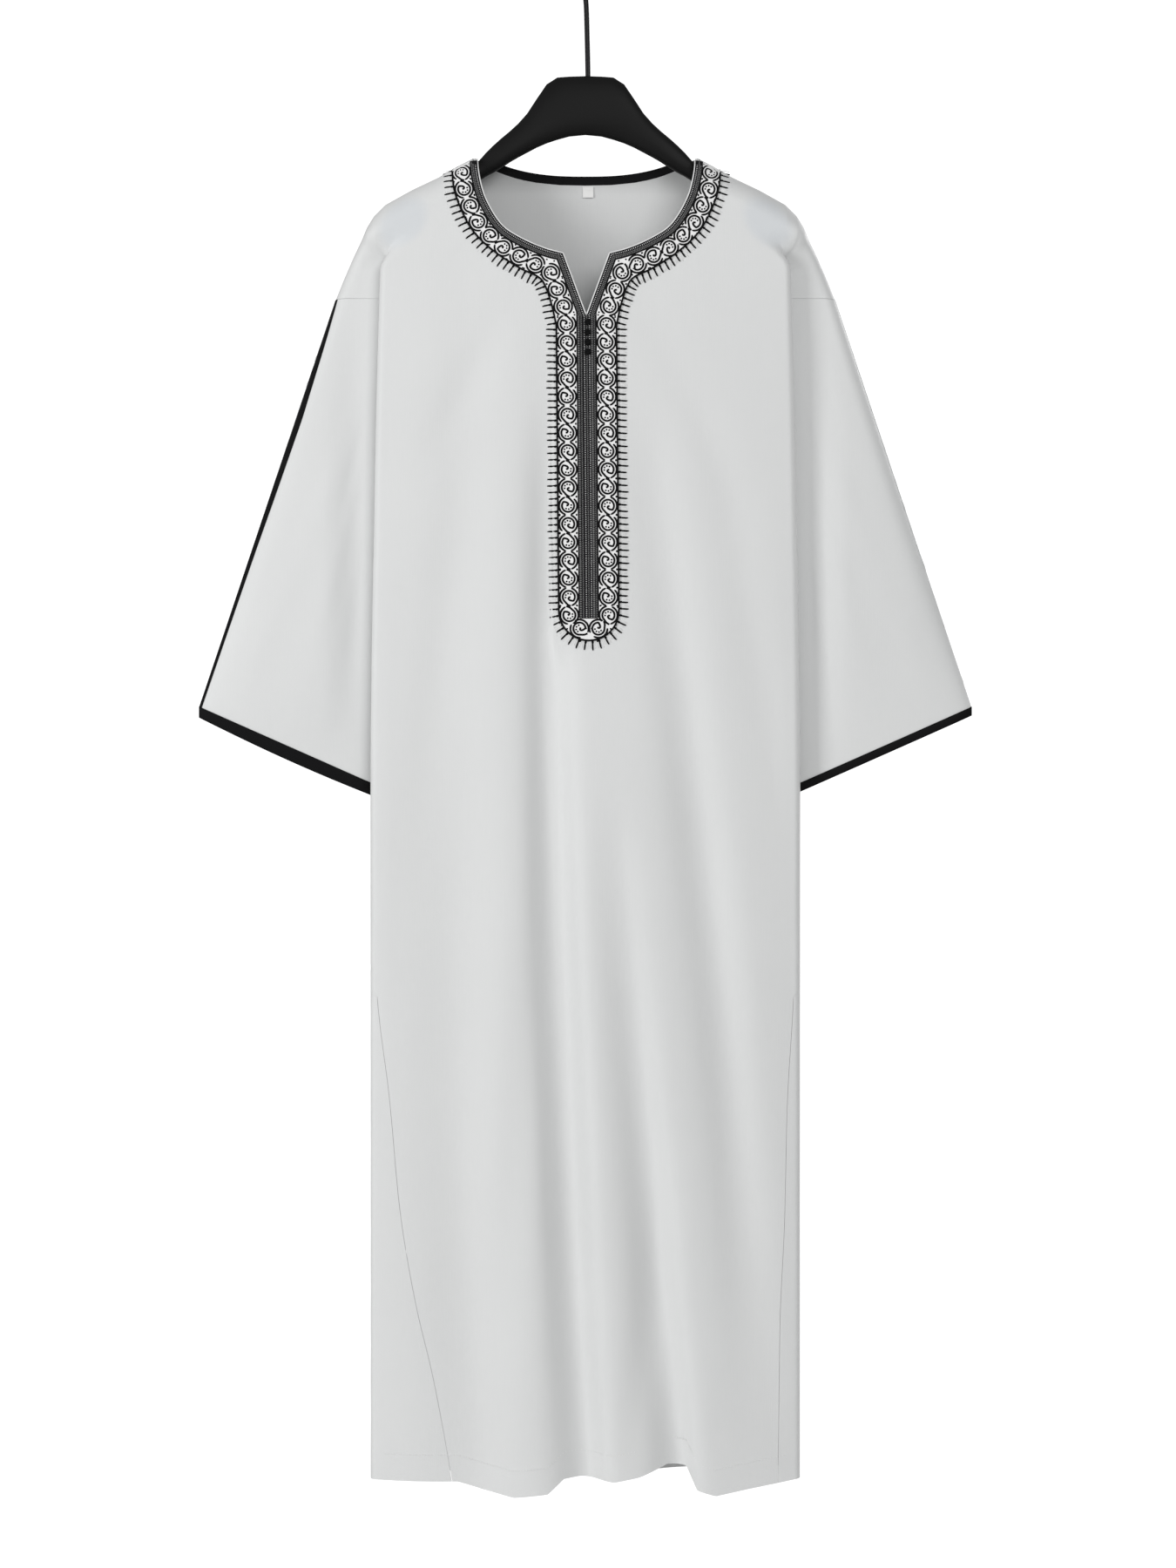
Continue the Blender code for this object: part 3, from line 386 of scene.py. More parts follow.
def valleyDepth(valleys, x, z):
    total = np.zeros(np.broadcast(x, z).shape)
    for i, top in enumerate(valleys["top"]):
        t = (top - z) / (top - valleys["bottom"][i])
        shares = np.stack([(1 - t) * (1 - 2 * t), 4 * t * (1 - t), t * (2 * t - 1)], axis=-1)
        line = np.dot(shares, valleys["x"][i])
        depth = curveThrough({"t": [0.0, 0.5, 1.0], "depth": valleys["depth"][i]}, "t", "depth", t)
        away = (x - line) / np.where(x < line, valleys["left"][i], valleys["right"][i])
        total = total + np.where((t < 0) | (t > 1), 0.0, depth * ease(t * 8.0) * np.exp(-0.5 * away * away))
    return total


def creaseDepth(face, x, z):
    total = np.zeros(np.broadcast(x, z).shape)
    for i in range(len(creases["x"])):
        if creases["face"][i] == face:
            turn = math.radians(creases["turn"][i])
            dx, dz = x - creases["x"][i], z - creases["z"][i]
            along = (dx * math.cos(turn) + dz * math.sin(turn)) / creases["long"][i]
            across = (dz * math.cos(turn) - dx * math.sin(turn)) / creases["wide"][i]
            total = total + creases["depth"][i] * np.exp(-0.5 * (along ** 2 * 2.0 + across ** 2))
    return total


def clothDepth(face, x, z):
    x, z = np.asarray(x, float), np.asarray(z, float)
    foldX, edge, centre = sectionAt(z, "foldX", "edge", "centre")
    across = np.minimum(np.abs(x) / foldX, 1.0)
    depth = edge + (centre - edge) * (1.0 - across ** bow["power"])
    folds = valleyDepth(frontValleys if face < 0 else backValleys, x, z)
    started = ease((levels["neckTop"] - creases["below"] - z) / creases["ramp"])
    folds = folds + creaseDepth(face, x, z) * started
    if face < 0:
        stiff = 1.0 - ease((np.abs(x - placketX(z)) - bow["stiffHalf"]) / bow["stiffEdge"])
        folds = folds * (1.0 - stiff * ease((z - levels["bandFoot"] + bow["stiffBelow"]) / bow["stiffRamp"]))
    depth = depth - folds * (1.0 - ease((across - bow["calmFrom"]) / bow["calmOver"]))
    shoulderZ = np.interp(np.abs(x), shoulder["x"], shoulder["z"])
    return depth * rounded((shoulderZ - z) / shoulder["round"])


def neckCurve(count=61):
    return smoothLine(list(zip(neckline["x"], neckline["z"])), count)[::-1]


def backNeckZ(x):
    share = min(abs(x) / neck["half"], 1.0) ** neck["backPower"]
    return levels["backNeck"] + (levels["neckTop"] - levels["backNeck"]) * share


def innerX(face, side, z):
    # a panel's inner edge at one height, or its middle, measured outwards
    if face > 0:
        t = (z - levels["backNeck"]) / (levels["neckTop"] - levels["backNeck"])
        return neck["half"] * max(t, 0.0) ** (1.0 / neck["backPower"])
    middle = side * float(placketX(z))
    if z <= levels["vBottom"]:
        return middle
    if z < levels["corner"]:
        t = (z - levels["vBottom"]) / (levels["corner"] - levels["vBottom"])
        return neck["slit"] + (neckline["x"][0] - neck["slit"]) * t + middle
    curve = neckCurve()[::-1]
    return float(np.interp(z, curve[:, 1], curve[:, 0])) + middle


def outerX(z):
    return float(np.interp(-z, [-value for value in shoulder["z"]][1:], shoulder["x"][1:]))


def sidePoints(face, side, z, v):
    # v is 0 where the side fold starts, negative on the panel, 1 behind the fold and 2 at the pleat's bottom
    foldX, roll, pleat, gap = sectionAt(z, "foldX", "roll", "pleat", "gap")
    start = foldX - roll
    depth = float(clothDepth(face, side * start, z))
    behind = depth - 2.0 * roll
    turn, tuck = math.pi * v, 0.5 * math.pi * (v - 1.0)
    around = np.where(v <= 1.0, start + roll * np.sin(turn), start - (pleat - roll) * np.sin(tuck))
    x = np.where(v <= 0.0, start + v, around)
    tucked = behind + (gap - behind) * (1.0 - np.cos(tuck))
    fold = np.where(v <= 1.0, depth - roll * (1.0 - np.cos(turn)), tucked)
    y = np.where(v <= 0.0, clothDepth(face, side * x, z), fold)
    return np.stack([side * x, face * y, np.full(len(v), z)], axis=1)


def stepsOf(cost):
    # a cost is in millimetres on the panel and in shares of armCost round the fold and the pleat
    return np.where(cost <= 0.0, cost, cost / opening["armCost"])


def costOf(v):
    return v if v <= 0.0 else v * opening["armCost"]


def wingPoints(face, side, z, k):
    # from the pleat's bottom, k 0, out to the shoulder fold, k 1
    foldX, pleat, gap = sectionAt(z, "foldX", "pleat", "gap")
    edge = outerX(z)
    m = 1.0 - (1.0 - k) ** opening["wingSpread"]
    x = foldX - pleat + (edge - foldX + pleat) * m
    deep = opening["wingDeep"] + (gap - opening["wingDeep"]) * (1.0 - m) ** 2
    depth = deep * rounded((edge - x) / opening["wingEdge"])
    return np.stack([side * x, face * np.maximum(depth, 0.5 * seam), np.full(len(k), z)], axis=1)


def upperRow(face, side, z, columns, wings):
    foldX, roll = sectionAt(z, "foldX", "roll")
    inner, outer = innerX(face, side, z), outerX(z)
    steps = stepsOf(np.linspace(inner - foldX + roll, costOf(2.0), columns))
    pleated = np.concatenate([sidePoints(face, side, z, steps),
                              wingPoints(face, side, z, np.linspace(0.0, 1.0, wings + 1)[1:])])
    t = np.linspace(0.0, 1.0, len(pleated))
    flatX = outer - (outer - inner) * (1.0 - t) ** opening["spread"]
    flatY = np.maximum(clothDepth(face, side * flatX, z), 0.5 * seam)
    flat = np.stack([side * flatX, face * flatY, np.full(len(t), z)], axis=1)
    return flat + (pleated - flat) * ease((levels["foldStart"] - z) / opening["ramp"])


def lowerRow(face, side, z, columns, wings):
    # its end is repeated, so that it has as many points as a row above the yoke
    foldX, roll = sectionAt(z, "foldX", "roll")
    end = costOf(2.0 if z > levels["underarm"] else seamV(face, side, z))
    cost = np.linspace(innerX(face, side, z) - foldX + roll, end, columns)
    return sidePoints(face, side, z, stepsOf(np.append(cost, [end] * wings)))


def seamV(face, side, z):
    name = "back" if face > 0 else ("left" if side < 0 else "right")
    return float(curveThrough(goreSeam, "z", name, max(z, goreSeam["z"][0])))


def hemmed(points):
    x = np.where(points[:, 1] < 0.0, points[:, 0], -points[:, 0])
    drop = np.interp(x, hem["x"], hem["z"]) - levels["hem"]
    share = ease((levels["hem"] + hem["ramp"] - points[:, 2]) / hem["ramp"])
    points[:, 2] += np.where(points[:, 1] < 0.0, drop, 0.5 * drop) * share
    return points


# Meshes

def makeMesh(name, points, faces):
    mesh = bpy.data.meshes.new(name)
    mesh.from_pydata([tuple(p) for p in np.asarray(points) * mm], [], faces)
    mesh.update()
    mesh.shade_smooth()
    return mesh


def flattened(rows):
    return [p for row in rows for p in row]


def gridOf(rows, facing, first=0):
    faces = []
    for r, (upper, lower) in enumerate(zip(rows, rows[1:])):
        start = first + sum(len(row) for row in rows[:r])
        below = start + len(upper)
        for k in range(min(len(upper), len(lower)) - 1):
            quad = (start + k, below + k, below + k + 1, start + k + 1)
            faces.append(quad if facing < 0 else quad[::-1])
    return faces


def weld(mesh, apart, thinnest=0.0, toFront=False):
    # joins points that meet, and turns a flat layout's faces to the front
    shape = bmesh.new()
    shape.from_mesh(mesh)
    bmesh.ops.remove_doubles(shape, verts=shape.verts, dist=apart)
    if thinnest:
        bmesh.ops.dissolve_degenerate(shape, edges=shape.edges, dist=thinnest)
    for face in shape.faces:
        if toFront and face.normal.y > 0.0:
            face.normal_flip()
    shape.to_mesh(mesh)
    shape.free()


def makePiece(name, mesh, finish, nodes=(), thickness=0.0, offset=-1.0):
    # a piece in the scene, with its wall made solid where it is cloth
    piece = bpy.data.objects.new(name, mesh)
    bpy.context.scene.collection.objects.link(piece)
    mesh.materials.clear()
    mesh.materials.append(finish)
    if thickness:
        shell = piece.modifiers.new("wall", "SOLIDIFY")
        shell.thickness = thickness * mm
        shell.offset = offset
        shell.use_rim = True
        made = bpy.data.meshes.new_from_object(piece.evaluated_get(bpy.context.evaluated_depsgraph_get()))
        piece.modifiers.clear()
        piece.data = made
        bpy.data.meshes.remove(mesh)
        made.name = name
        made.set_sharp_from_angle(angle=math.radians(55.0))
    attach(piece, "root")
    if nodes:
        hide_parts(*nodes)
    return piece


def makeSheet(name, mesh, finish, node, thickness, offset=-1.0):
    # a piece of cloth that stands for one node, whose solid it hides
    piece = makePiece(name, mesh, finish, [node], thickness, offset)


def makeCotton(node, mesh):
    makeSheet(node + "_cloth", mesh, cotton, node, wall)


panels = {
    "body_front": {"face": -1, "columns": 78, "wings": 12, "neckStep": 1.7, "vStep": 3.2, "step": 9.5},
    "body_back": {"face": 1, "columns": 54, "wings": 12, "neckStep": 2.2, "vStep": 8.0, "step": 9.5},
}
wall = 0.9


def panelHeights(facts):
    top = levels["neckTop"] - 0.2
    upper = np.arange(top, levels["corner"] - 4.0, -facts["neckStep"])
    middle = np.arange(upper[-1] - facts["vStep"], levels["vBottom"] + 1.0, -facts["vStep"])
    count = int((levels["vBottom"] - levels["hem"]) / facts["step"])
    lower = np.linspace(levels["vBottom"], levels["hem"], count)
    extra = [levels["yoke"], levels["yoke"] - 0.8 * seam, levels["backNeck"], levels["corner"],
             levels["underarm"], *np.arange(levels["seamTurns"] + 24.0, levels["seamTurns"] - 16.0, -1.6)]
    return sorted({round(float(z), 3) for z in [*upper, *middle, *lower, *extra]}, reverse=True)


def makePanel(name):
    facts = panels[name]
    points, faces = [], []
    for side in (-1, 1):
        rows = []
        for z in panelHeights(facts):
            row = upperRow if z >= levels["yoke"] else lowerRow
            made = row(facts["face"], side, z, facts["columns"], facts["wings"])
            rows.append(hemmed(made) if z < levels["yoke"] else made)
        faces += gridOf(rows, facts["face"] * side, len(points))
        points += flattened(rows)
    mesh = makeMesh(name, points, faces)
    weld(mesh, 0.00002, 0.00001)
    makeCotton(name, mesh)


goreColumns = 23


def makeGore(name, side):
    rows = []
    for z in panelHeights(panels["body_front"]):
        if z <= levels["underarm"]:
            front, back = (sidePoints(face, side, z, stepsOf(np.linspace(
                costOf(seamV(face, side, z)) + 1.1 * seam, costOf(2.0), goreColumns))) for face in (-1, 1))
            rows.append(hemmed(np.concatenate([front, back[-2::-1]])))
    makeCotton(name, makeMesh(name, flattened(rows), gridOf(rows, -side)))


# Sleeves

sleeves = {"outer": (398.5, -801.5), "inner": (193.0, -892.5), "halfDepth": 15.0, "lensPower": 2.4,
           "rows": 64, "columns": 58, "topDepth": 3.0, "headStep": 0.2, "shutStep": 0.5,
           "puff": 9.0, "puffFrom": 230.0, "puffOver": 40.0, "foldsFrom": 222.0, "foldsOver": 20.0,
           "armhole": [-381.3, -402.2, -445.0, -505.0, -567.0, -629.0]}
# Creases that run down a sleeve: where across it, 0 at the shoulder fold and 1 at the underarm, its start
# and end along it, its depth and its half width
sleeveCreases = {
    "across": [0.22, 0.40, 0.55, 0.68, 0.80, 0.90, 0.33],
    "drift": [0.10, 0.08, 0.04, 0.0, -0.03, -0.05, 0.16],
    "start": [0.02, 0.0, 0.05, 0.0, 0.0, 0.02, 0.45],
    "end": [0.75, 1.0, 0.8, 1.0, 0.9, 0.8, 1.0],
    "depth": [0.9, 1.2, 0.9, 1.3, 1.5, 1.2, 0.9],
    "wide": [0.05, 0.055, 0.045, 0.05, 0.045, 0.035, 0.045],
}
# The black binding: how far down and how far out each of its lines lies, and its depth's least share and sag
binding = {"drop": [-0.6, 1.2, 5.0, 8.8, 10.0], "out": [0.5, 0.9, 1.0, 0.9, 0.3], "wall": 1.3,
           "deep": {-1: (1.08, 0.3), 1: (0.86, 0.0)}}
tape = {"t": [0.0, 0.12, 0.29, 0.6, 1.0], "wide": [3.0, 5.5, 7.6, 5.0, 2.6], "lift": 0.35, "wall": 0.5,
        "across": [0.0, 0.12, 0.3, 0.5, 0.7, 0.88, 1.0], "crown": [0.0, 0.3, 0.5, 0.55, 0.5, 0.3, 0.0],
        "columns": [0.0, 0.3, 0.7, 1.0, 1.5, 2.0, 2.5, 3.0], "rows": 72, "slack": 1.3}


def sleeveHead(face, side, k):
    # a column's start, k 0 at the shoulder fold, 4 at the pleat under the yoke, 9 at the underarm and 10 at
    # the closed edge
    if k <= 4.0:
        place = min((4.0 - k) / 3.0, 1.0)
        x, y, z = wingPoints(face, side, levels["yoke"], np.array([place]))[0]
        if k < 1.0:
            x = shoulder["x"][-1] * side
            y = face * (0.5 * seam + (sleeves["topDepth"] - 0.5 * seam) * rounded(k))
        free = ease(k - 3.0)
        return x + side * sleeves["headStep"] * free, y - face * seam * free, z - seam
    z = float(np.interp(min(k, 9.0), range(4, 10), sleeves["armhole"]))
    x, y, z = sidePoints(face, side, z, np.array([2.0]))[0]
    shut = max(k - 9.0, 0.0)
    y = (y - face * seam) * (1.0 - shut) + face * 0.5 * seam * shut
    return x + side * (sleeves["headStep"] + sleeves["shutStep"] * shut), y, z


def sleeveGrid(face, side, rows, ks):
    heads = np.array([sleeveHead(face, side, k) for k in ks])
    g = np.clip((ks - 1.0) / 8.0, 0.0, 1.0)
    f = 0.5 * (g + 0.5 - 0.5 * np.cos(np.pi * g))
    xEnd = sleeves["outer"][0] + (sleeves["inner"][0] - sleeves["outer"][0]) * f
    zEnd = sleeves["outer"][1] + (sleeves["inner"][1] - sleeves["outer"][1]) * f
    power = sleeves["lensPower"]
    lens = sleeves["halfDepth"] * (1.0 - np.abs(2.0 * f - 1.0) ** power) ** (1 / power)
    closing = np.where(ks < 1.0, rounded(ks), rounded(10.0 - ks))
    yEnd = face * np.maximum(np.maximum(lens, sleeves["topDepth"]) * closing, 0.5 * seam)
    inside = rounded(np.minimum(ks / 2.0, (10.0 - ks) / 1.5))
    grid = []
    for t in rows:
        x = side * (np.abs(heads[:, 0]) * (1 - t) + xEnd * t)
        z = heads[:, 2] * (1 - t) + zEnd * t
        puff = sleeves["puff"] * math.sin(math.pi * t) * np.sin(np.pi * f)
        puff = puff * ease((np.abs(x) - sleeves["puffFrom"]) / sleeves["puffOver"])
        folds = np.zeros(len(ks))
        for i, middle in enumerate(sleeveCreases["across"]):
            run = (t - sleeveCreases["start"][i]) / (sleeveCreases["end"][i] - sleeveCreases["start"][i])
            if 0.0 < run < 1.0:
                away = (f - middle - sleeveCreases["drift"][i] * (0.5 - t)) / sleeveCreases["wide"][i]
                strength = math.sin(math.pi * run) ** 0.6
                folds += sleeveCreases["depth"][i] * strength * np.exp(-0.5 * away * away)
        folds = folds * inside * ease((np.abs(x) - sleeves["foldsFrom"]) / sleeves["foldsOver"])
        y = heads[:, 1] * (1 - t) + yEnd * t + face * (puff - folds)
        grid.append(np.stack([x, np.where(face * y < 0.5 * seam, face * 0.5 * seam, y), z], axis=1))
    return grid


def sleeveColumns():
    return np.array([0.0, 0.15, 0.4, 0.7, *np.linspace(1.0, 9.0, sleeves["columns"]), 9.4, 9.75, 10.0])


def makeSleeveHalf(name, face, side):
    rows = sleeveGrid(face, side, np.linspace(0.0, 1.0, sleeves["rows"]), sleeveColumns())
    makeCotton(name, makeMesh(name, flattened(rows), gridOf(rows, -face * side)))


def makeCuffBinding(name, side):
    front, back = (sleeveGrid(face, side, [1.0], sleeveColumns())[0] for face in (-1, 1))
    ring = np.concatenate([front[:-1], back[:0:-1]])
    least, sag = binding["deep"][side]
    inner, outer = sleeves["inner"][0], sleeves["outer"][0]
    deep = least + sag * np.sin(np.pi * np.clip((np.abs(ring[:, 0]) - inner) / (outer - inner), 0.0, 1.0))
    rows = []
    for drop, out in zip(binding["drop"], binding["out"]):
        row = ring.copy()
        row[:, 2] -= drop * deep
        row[:, 1] += np.sign(row[:, 1]) * out * np.clip(np.abs(row[:, 1]) / 2.0, 0.0, 1.0)
        rows.append(np.concatenate([row, row[:1]]))
    mesh = makeMesh(name, flattened(rows), gridOf(rows, side))
    weld(mesh, 0.00002)
    makeSheet(name + "_tape", mesh, trim, name, binding["wall"], -0.5)


def makeSleeveTape(name, face, side):
    # on the fold's outer edge, each of its lines at a share of its width there
    rows = []
    for t in np.linspace(0.0, 1.0, tape["rows"]):
        whole = sleeveGrid(face, side, [t], np.array(tape["columns"]))[0]
        reach = np.concatenate([[0.0], np.cumsum(np.hypot(np.diff(whole[:, 0]), np.diff(whole[:, 2])))])
        at = np.array(tape["across"]) * float(np.interp(t, tape["t"], tape["wide"]))
        row = np.stack([np.interp(at, reach + np.arange(8) * 1e-4, whole[:, i]) for i in range(3)], axis=1)
        row[:, 1] += face * (tape["lift"] + np.array(tape["crown"]))
        rows.append(row)
    mesh = makeMesh(name, flattened(rows), gridOf(rows, -face * side))
    makeSheet(name + "_band", mesh, trim, name, tape["wall"], 1.0)


# Trimming on the front. It is laid out flat in x and z, and then moved onto the cloth.

band = {
    "outerX": [138.0, 133.5, 118.0, 96.0, 68.5, 50.0, 42.5, 35.5, 30.6],
    "outerZ": [-250.0, -279.0, -313.0, -336.0, -354.5, -363.5, -372.0, -392.0, -414.0],
    "half": 30.6, "lift": 0.35, "wall": 0.5,
}
braid = {"wide": 8.0, "inset": 0.6, "half": 9.6, "top": -403.4, "lift": 0.35, "wall": 0.7}


def drape(mesh, lift, flatten=1.0):
    # moves a flat layout onto the front: what stands towards -Y stays proud of it
    flat = np.empty(len(mesh.vertices) * 3)
    mesh.vertices.foreach_get("co", flat)
    flat = flat.reshape(-1, 3)
    out = clothDepth(-1, flat[:, 0] / mm, flat[:, 2] / mm) * mm
    flat[:, 1] = flat[:, 1] * flatten - out - lift * mm
    mesh.vertices.foreach_set("co", flat.ravel())
    mesh.update()


def flatPath(line):
    return [(x, 0.0, z) for x, z in line]


def offsetLine(line, distance):
    ahead = np.gradient(line, axis=0)
    ahead /= np.linalg.norm(ahead, axis=1)[:, None]
    return np.stack([line[:, 0] - ahead[:, 1] * distance, line[:, 1] + ahead[:, 0] * distance], axis=1)


def braidLine(distance):
    # the neckline's right half with its V, moved out by a distance
    curve = neckCurve(25)
    line = offsetLine(curve, distance)
    slope = np.array([neck["slit"] - curve[-1][0], levels["vBottom"] - curve[-1][1]])
    slope /= np.linalg.norm(slope)
    shift = np.array([-slope[1], slope[0]]) * distance
    foot, top = np.array([neck["slit"], levels["vBottom"]]) + shift, curve[-1] + shift
    level = min(line[-2][1], top[1])
    turn = np.array([top[0] + (top[1] - level) * (slope[0] / -slope[1]), level])
    return np.array([*line[:-1], turn, foot])


def onSide(line, side):
    line = np.asarray(line, float)
    return np.stack([side * line[:, 0] + placketX(line[:, 1]), line[:, 1]], axis=1)


def cutAt(line, z):
    # a line that runs down, ended at a height
    kept = line[line[:, 1] > z]
    rest = line[line[:, 1] <= z]
    after = rest[0] if len(rest) else line[-1] + (line[-1] - line[-2])
    before = kept[-1] if len(rest) else line[-2]
    t = (z - before[1]) / (after[1] - before[1])
    return np.array([*kept, before + (after - before) * t])


def bandOuter():
    foot = levels["bandFoot"] + band["half"]
    turn = [(band["half"] * math.cos(a), foot - band["half"] * math.sin(a))
            for a in np.linspace(0.0, math.pi / 2, 13)]
    return np.array([*smoothLine([*zip(band["outerX"], band["outerZ"])], 41), *turn])


def bandInner():
    inner = braidLine(braid["wide"] + seam)
    turn, foot = inner[-2], inner[-1]
    edge = braid["half"] + seam
    along = (turn[0] - edge) / (turn[0] - foot[0])
    corner = (edge, turn[1] + (foot[1] - turn[1]) * along)
    return np.array([*inner[:-1], corner, (edge, levels["placketFoot"] - seam)])


def stepped(line, count):
    # a line cut into equal steps
    line = np.asarray(line, float)
    reach = np.concatenate([[0.0], np.cumsum(np.linalg.norm(np.diff(line, axis=0), axis=1))])
    at = np.linspace(0.0, reach[-1], count)
    return np.stack([np.interp(at, reach, line[:, i]) for i in range(line.shape[1])], axis=1)


def evenly(line, step):
    line = np.asarray(line, float)
    long = np.linalg.norm(np.diff(line, axis=0), axis=1).sum()
    return stepped(line, max(int(long / step), 2) + 1)


def makeRibbon(name, pairs, facts, finish, node, across=6, count=240):
    # cloth between two lines, or between several such pairs, laid on the front
    points, faces = [], []
    for one, two in pairs:
        near, far = stepped(one, count), stepped(two, count)
        rows = [a + (b - a) * np.linspace(0.0, 1.0, across + 1)[:, None] for a, b in zip(near, far)]
        faces += gridOf(rows, 1, len(points))
        points += flatPath(flattened(rows))
    mesh = makeMesh(name, points, faces)
    weld(mesh, 0.00001, toFront=True)
    drape(mesh, facts["lift"])
    makeSheet(name, mesh, finish, node, facts["wall"], 1.0)


def clipShoulder(line):
    # a line that starts above the shoulder fold is started on it
    return np.array([p for p in line if p[1] < np.interp(abs(p[0]), shoulder["x"], shoulder["z"]) - 0.2])


def makeBand():
    outer = evenly(clipShoulder(bandOuter()), 3.0)
    inner = evenly([*clipShoulder(bandInner()), (0.0, levels["placketFoot"] - seam)], 1.5)
    pairs = [(onSide(outer, side), onSide(inner, side)) for side in (-1, 1)]
    makeRibbon("motif_band_cloth", pairs, band, ground, "motif_band")


def makeNeckBraid(name, side):
    edges = (clipShoulder(cutAt(braidLine(far), braid["top"])) for far in (braid["inset"], braid["wide"]))
    makeRibbon(name + "_base", [tuple(onSide(edge, side) for edge in edges)], braid, braidBase, name,
               3, 120)


def makePlacket():
    edge = np.array([(braid["half"], z) for z in np.linspace(braid["top"] - seam, levels["placketFoot"], 60)])
    makeRibbon("placket_braid_base", [(onSide(edge, 1), onSide(edge, -1))], braid, braidBase,
               "placket_braid", 5, 100)


# Geometry Nodes: motifs at a pitch along a path, and a thread that follows one

def newTree(name, inputs):
    tree = bpy.data.node_groups.new(name, "GeometryNodeTree")
    for title, kind in inputs:
        tree.interface.new_socket(title, in_out="INPUT", socket_type="NodeSocket" + kind)
    tree.interface.new_socket("Made", in_out="OUTPUT", socket_type="NodeSocketGeometry")
    start = addNode(tree, "NodeGroupInput")
    return tree, {title: start.also(title) for title, kind in inputs}


def endTree(tree, made, finish):
    real = addNode(tree, "GeometryNodeRealizeInstances", None, {0: made})
    dressed = addNode(tree, "GeometryNodeSetMaterial", None, {"Geometry": real, "Material": finish})
    addNode(tree, "NodeGroupOutput", None, {0: dressed})


def motifTree():
    tree, given = newTree("motifsAlongPath", [
        ("Path", "Geometry"), ("Motif", "Object"), ("Pitch", "Float"), ("Half Turn", "Float"),
        ("Spread", "Float"), ("Seed", "Int"), ("Finish", "Material")])
    line = addNode(tree, "GeometryNodeMeshToCurve", None, {0: given["Path"]})
    points = addNode(tree, "GeometryNodeCurveToPoints", {"mode": "LENGTH"},
                     {"Curve": line, "Length": given["Pitch"]})
    faced = addNode(tree, "FunctionNodeAlignRotationToVector", {"axis": "X", "pivot_axis": "Y"},
                    {"Vector": points.also("Tangent")})
    odd = addNode(tree, "GeometryNodeInputIndex") % 2.0
    angle = addNode(tree, "ShaderNodeCombineXYZ", None, {"Y": odd * given["Half Turn"] * math.pi})
    turn = addNode(tree, "FunctionNodeEulerToRotation", None, {0: angle})
    turned = addNode(tree, "FunctionNodeRotateRotation", {"rotation_space": "LOCAL"},
                     {"Rotation": faced, "Rotate By": turn})
    size = addNode(tree, "FunctionNodeRandomValue", {"data_type": "FLOAT"},
                   {2: 1.0 - given["Spread"], 3: 1.0 + given["Spread"], "Seed": given["Seed"]}, 1)
    motif = addNode(tree, "GeometryNodeObjectInfo", None, {"Object": given["Motif"]}, "Geometry")
    scale = addNode(tree, "ShaderNodeCombineXYZ", None, {"X": 1.0, "Y": 1.0, "Z": size})
    placed = addNode(tree, "GeometryNodeInstanceOnPoints", None,
                     {"Points": points, "Instance": motif, "Rotation": turned, "Scale": scale})
    endTree(tree, placed, given["Finish"])
    return tree


def threadTree():
    tree, given = newTree("threadAlongPath", [("Path", "Geometry"), ("Radius", "Float"), ("Sides", "Int"),
                                              ("Finish", "Material")])
    line = addNode(tree, "GeometryNodeMeshToCurve", None, {0: given["Path"]})
    ring = addNode(tree, "GeometryNodeCurvePrimitiveCircle", {"mode": "RADIUS"},
                   {"Resolution": given["Sides"], "Radius": given["Radius"]})
    thread = addNode(tree, "GeometryNodeCurveToMesh", None,
                     {"Curve": line, "Profile Curve": ring, "Fill Caps": True})
    endTree(tree, thread, given["Finish"])
    return tree


def runTree(name, tree, lines, values):
    # puts a tree on flat lines, and hands back the result as a plain mesh
    points, edges = [], []
    for line in lines:
        first = len(points)
        points += [tuple(np.array(p) * mm) for p in flatPath(line)]
        edges += [(i, i + 1) for i in range(first, len(points) - 1)]
    guide = bpy.data.meshes.new(name + "_path")
    guide.from_pydata(points, edges, [])
    holder = bpy.data.objects.new(name + "_path", guide)
    bpy.context.scene.collection.objects.link(holder)
    maker = holder.modifiers.new(name, "NODES")
    maker.node_group = tree
    for item in tree.interface.items_tree:
        if item.in_out == "INPUT" and item.name in values:
            maker[item.identifier] = values[item.name]
    made = bpy.data.meshes.new_from_object(holder.evaluated_get(bpy.context.evaluated_depsgraph_get()))
    made.name = name
    made.polygons.foreach_set("material_index", [0] * len(made.polygons))
    made.shade_smooth()
    bpy.data.objects.remove(holder, do_unlink=True)
    bpy.data.meshes.remove(guide)
    return made


# Motifs are drawn in u, along the path, and w, across it, as strokes of thread with a sunken base

thread = {"base": 0.2, "crest": 0.75, "end": 0.6, "dotBase": 0.3, "dotCrest": 0.6}


def stroke(shape, line, wide, high):
    line = np.asarray(line, float)
    ahead = np.gradient(line, axis=0)
    ahead /= np.linalg.norm(ahead, axis=1)[:, None]
    across = np.stack([-ahead[:, 1], ahead[:, 0]], axis=1) * wide / 2.0
    across[[0, -1]] *= thread["end"]
    base, crest = thread["base"], thread["crest"]
    section = ((1.0, base), (crest, -high), (-crest, -high), (-1.0, base))
    rings = [[shape.verts.new(Vector((u + du * side, y, w + dw * side)) * mm) for side, y in section]
             for (u, w), (du, dw) in zip(line, across)]
    for one, two in zip(rings, rings[1:]):
        for a in range(4):
            b = (a + 1) % 4
            shape.faces.new((one[a], two[a], two[b], one[b]))
    shape.faces.new(rings[0])
    shape.faces.new(rings[-1][::-1])


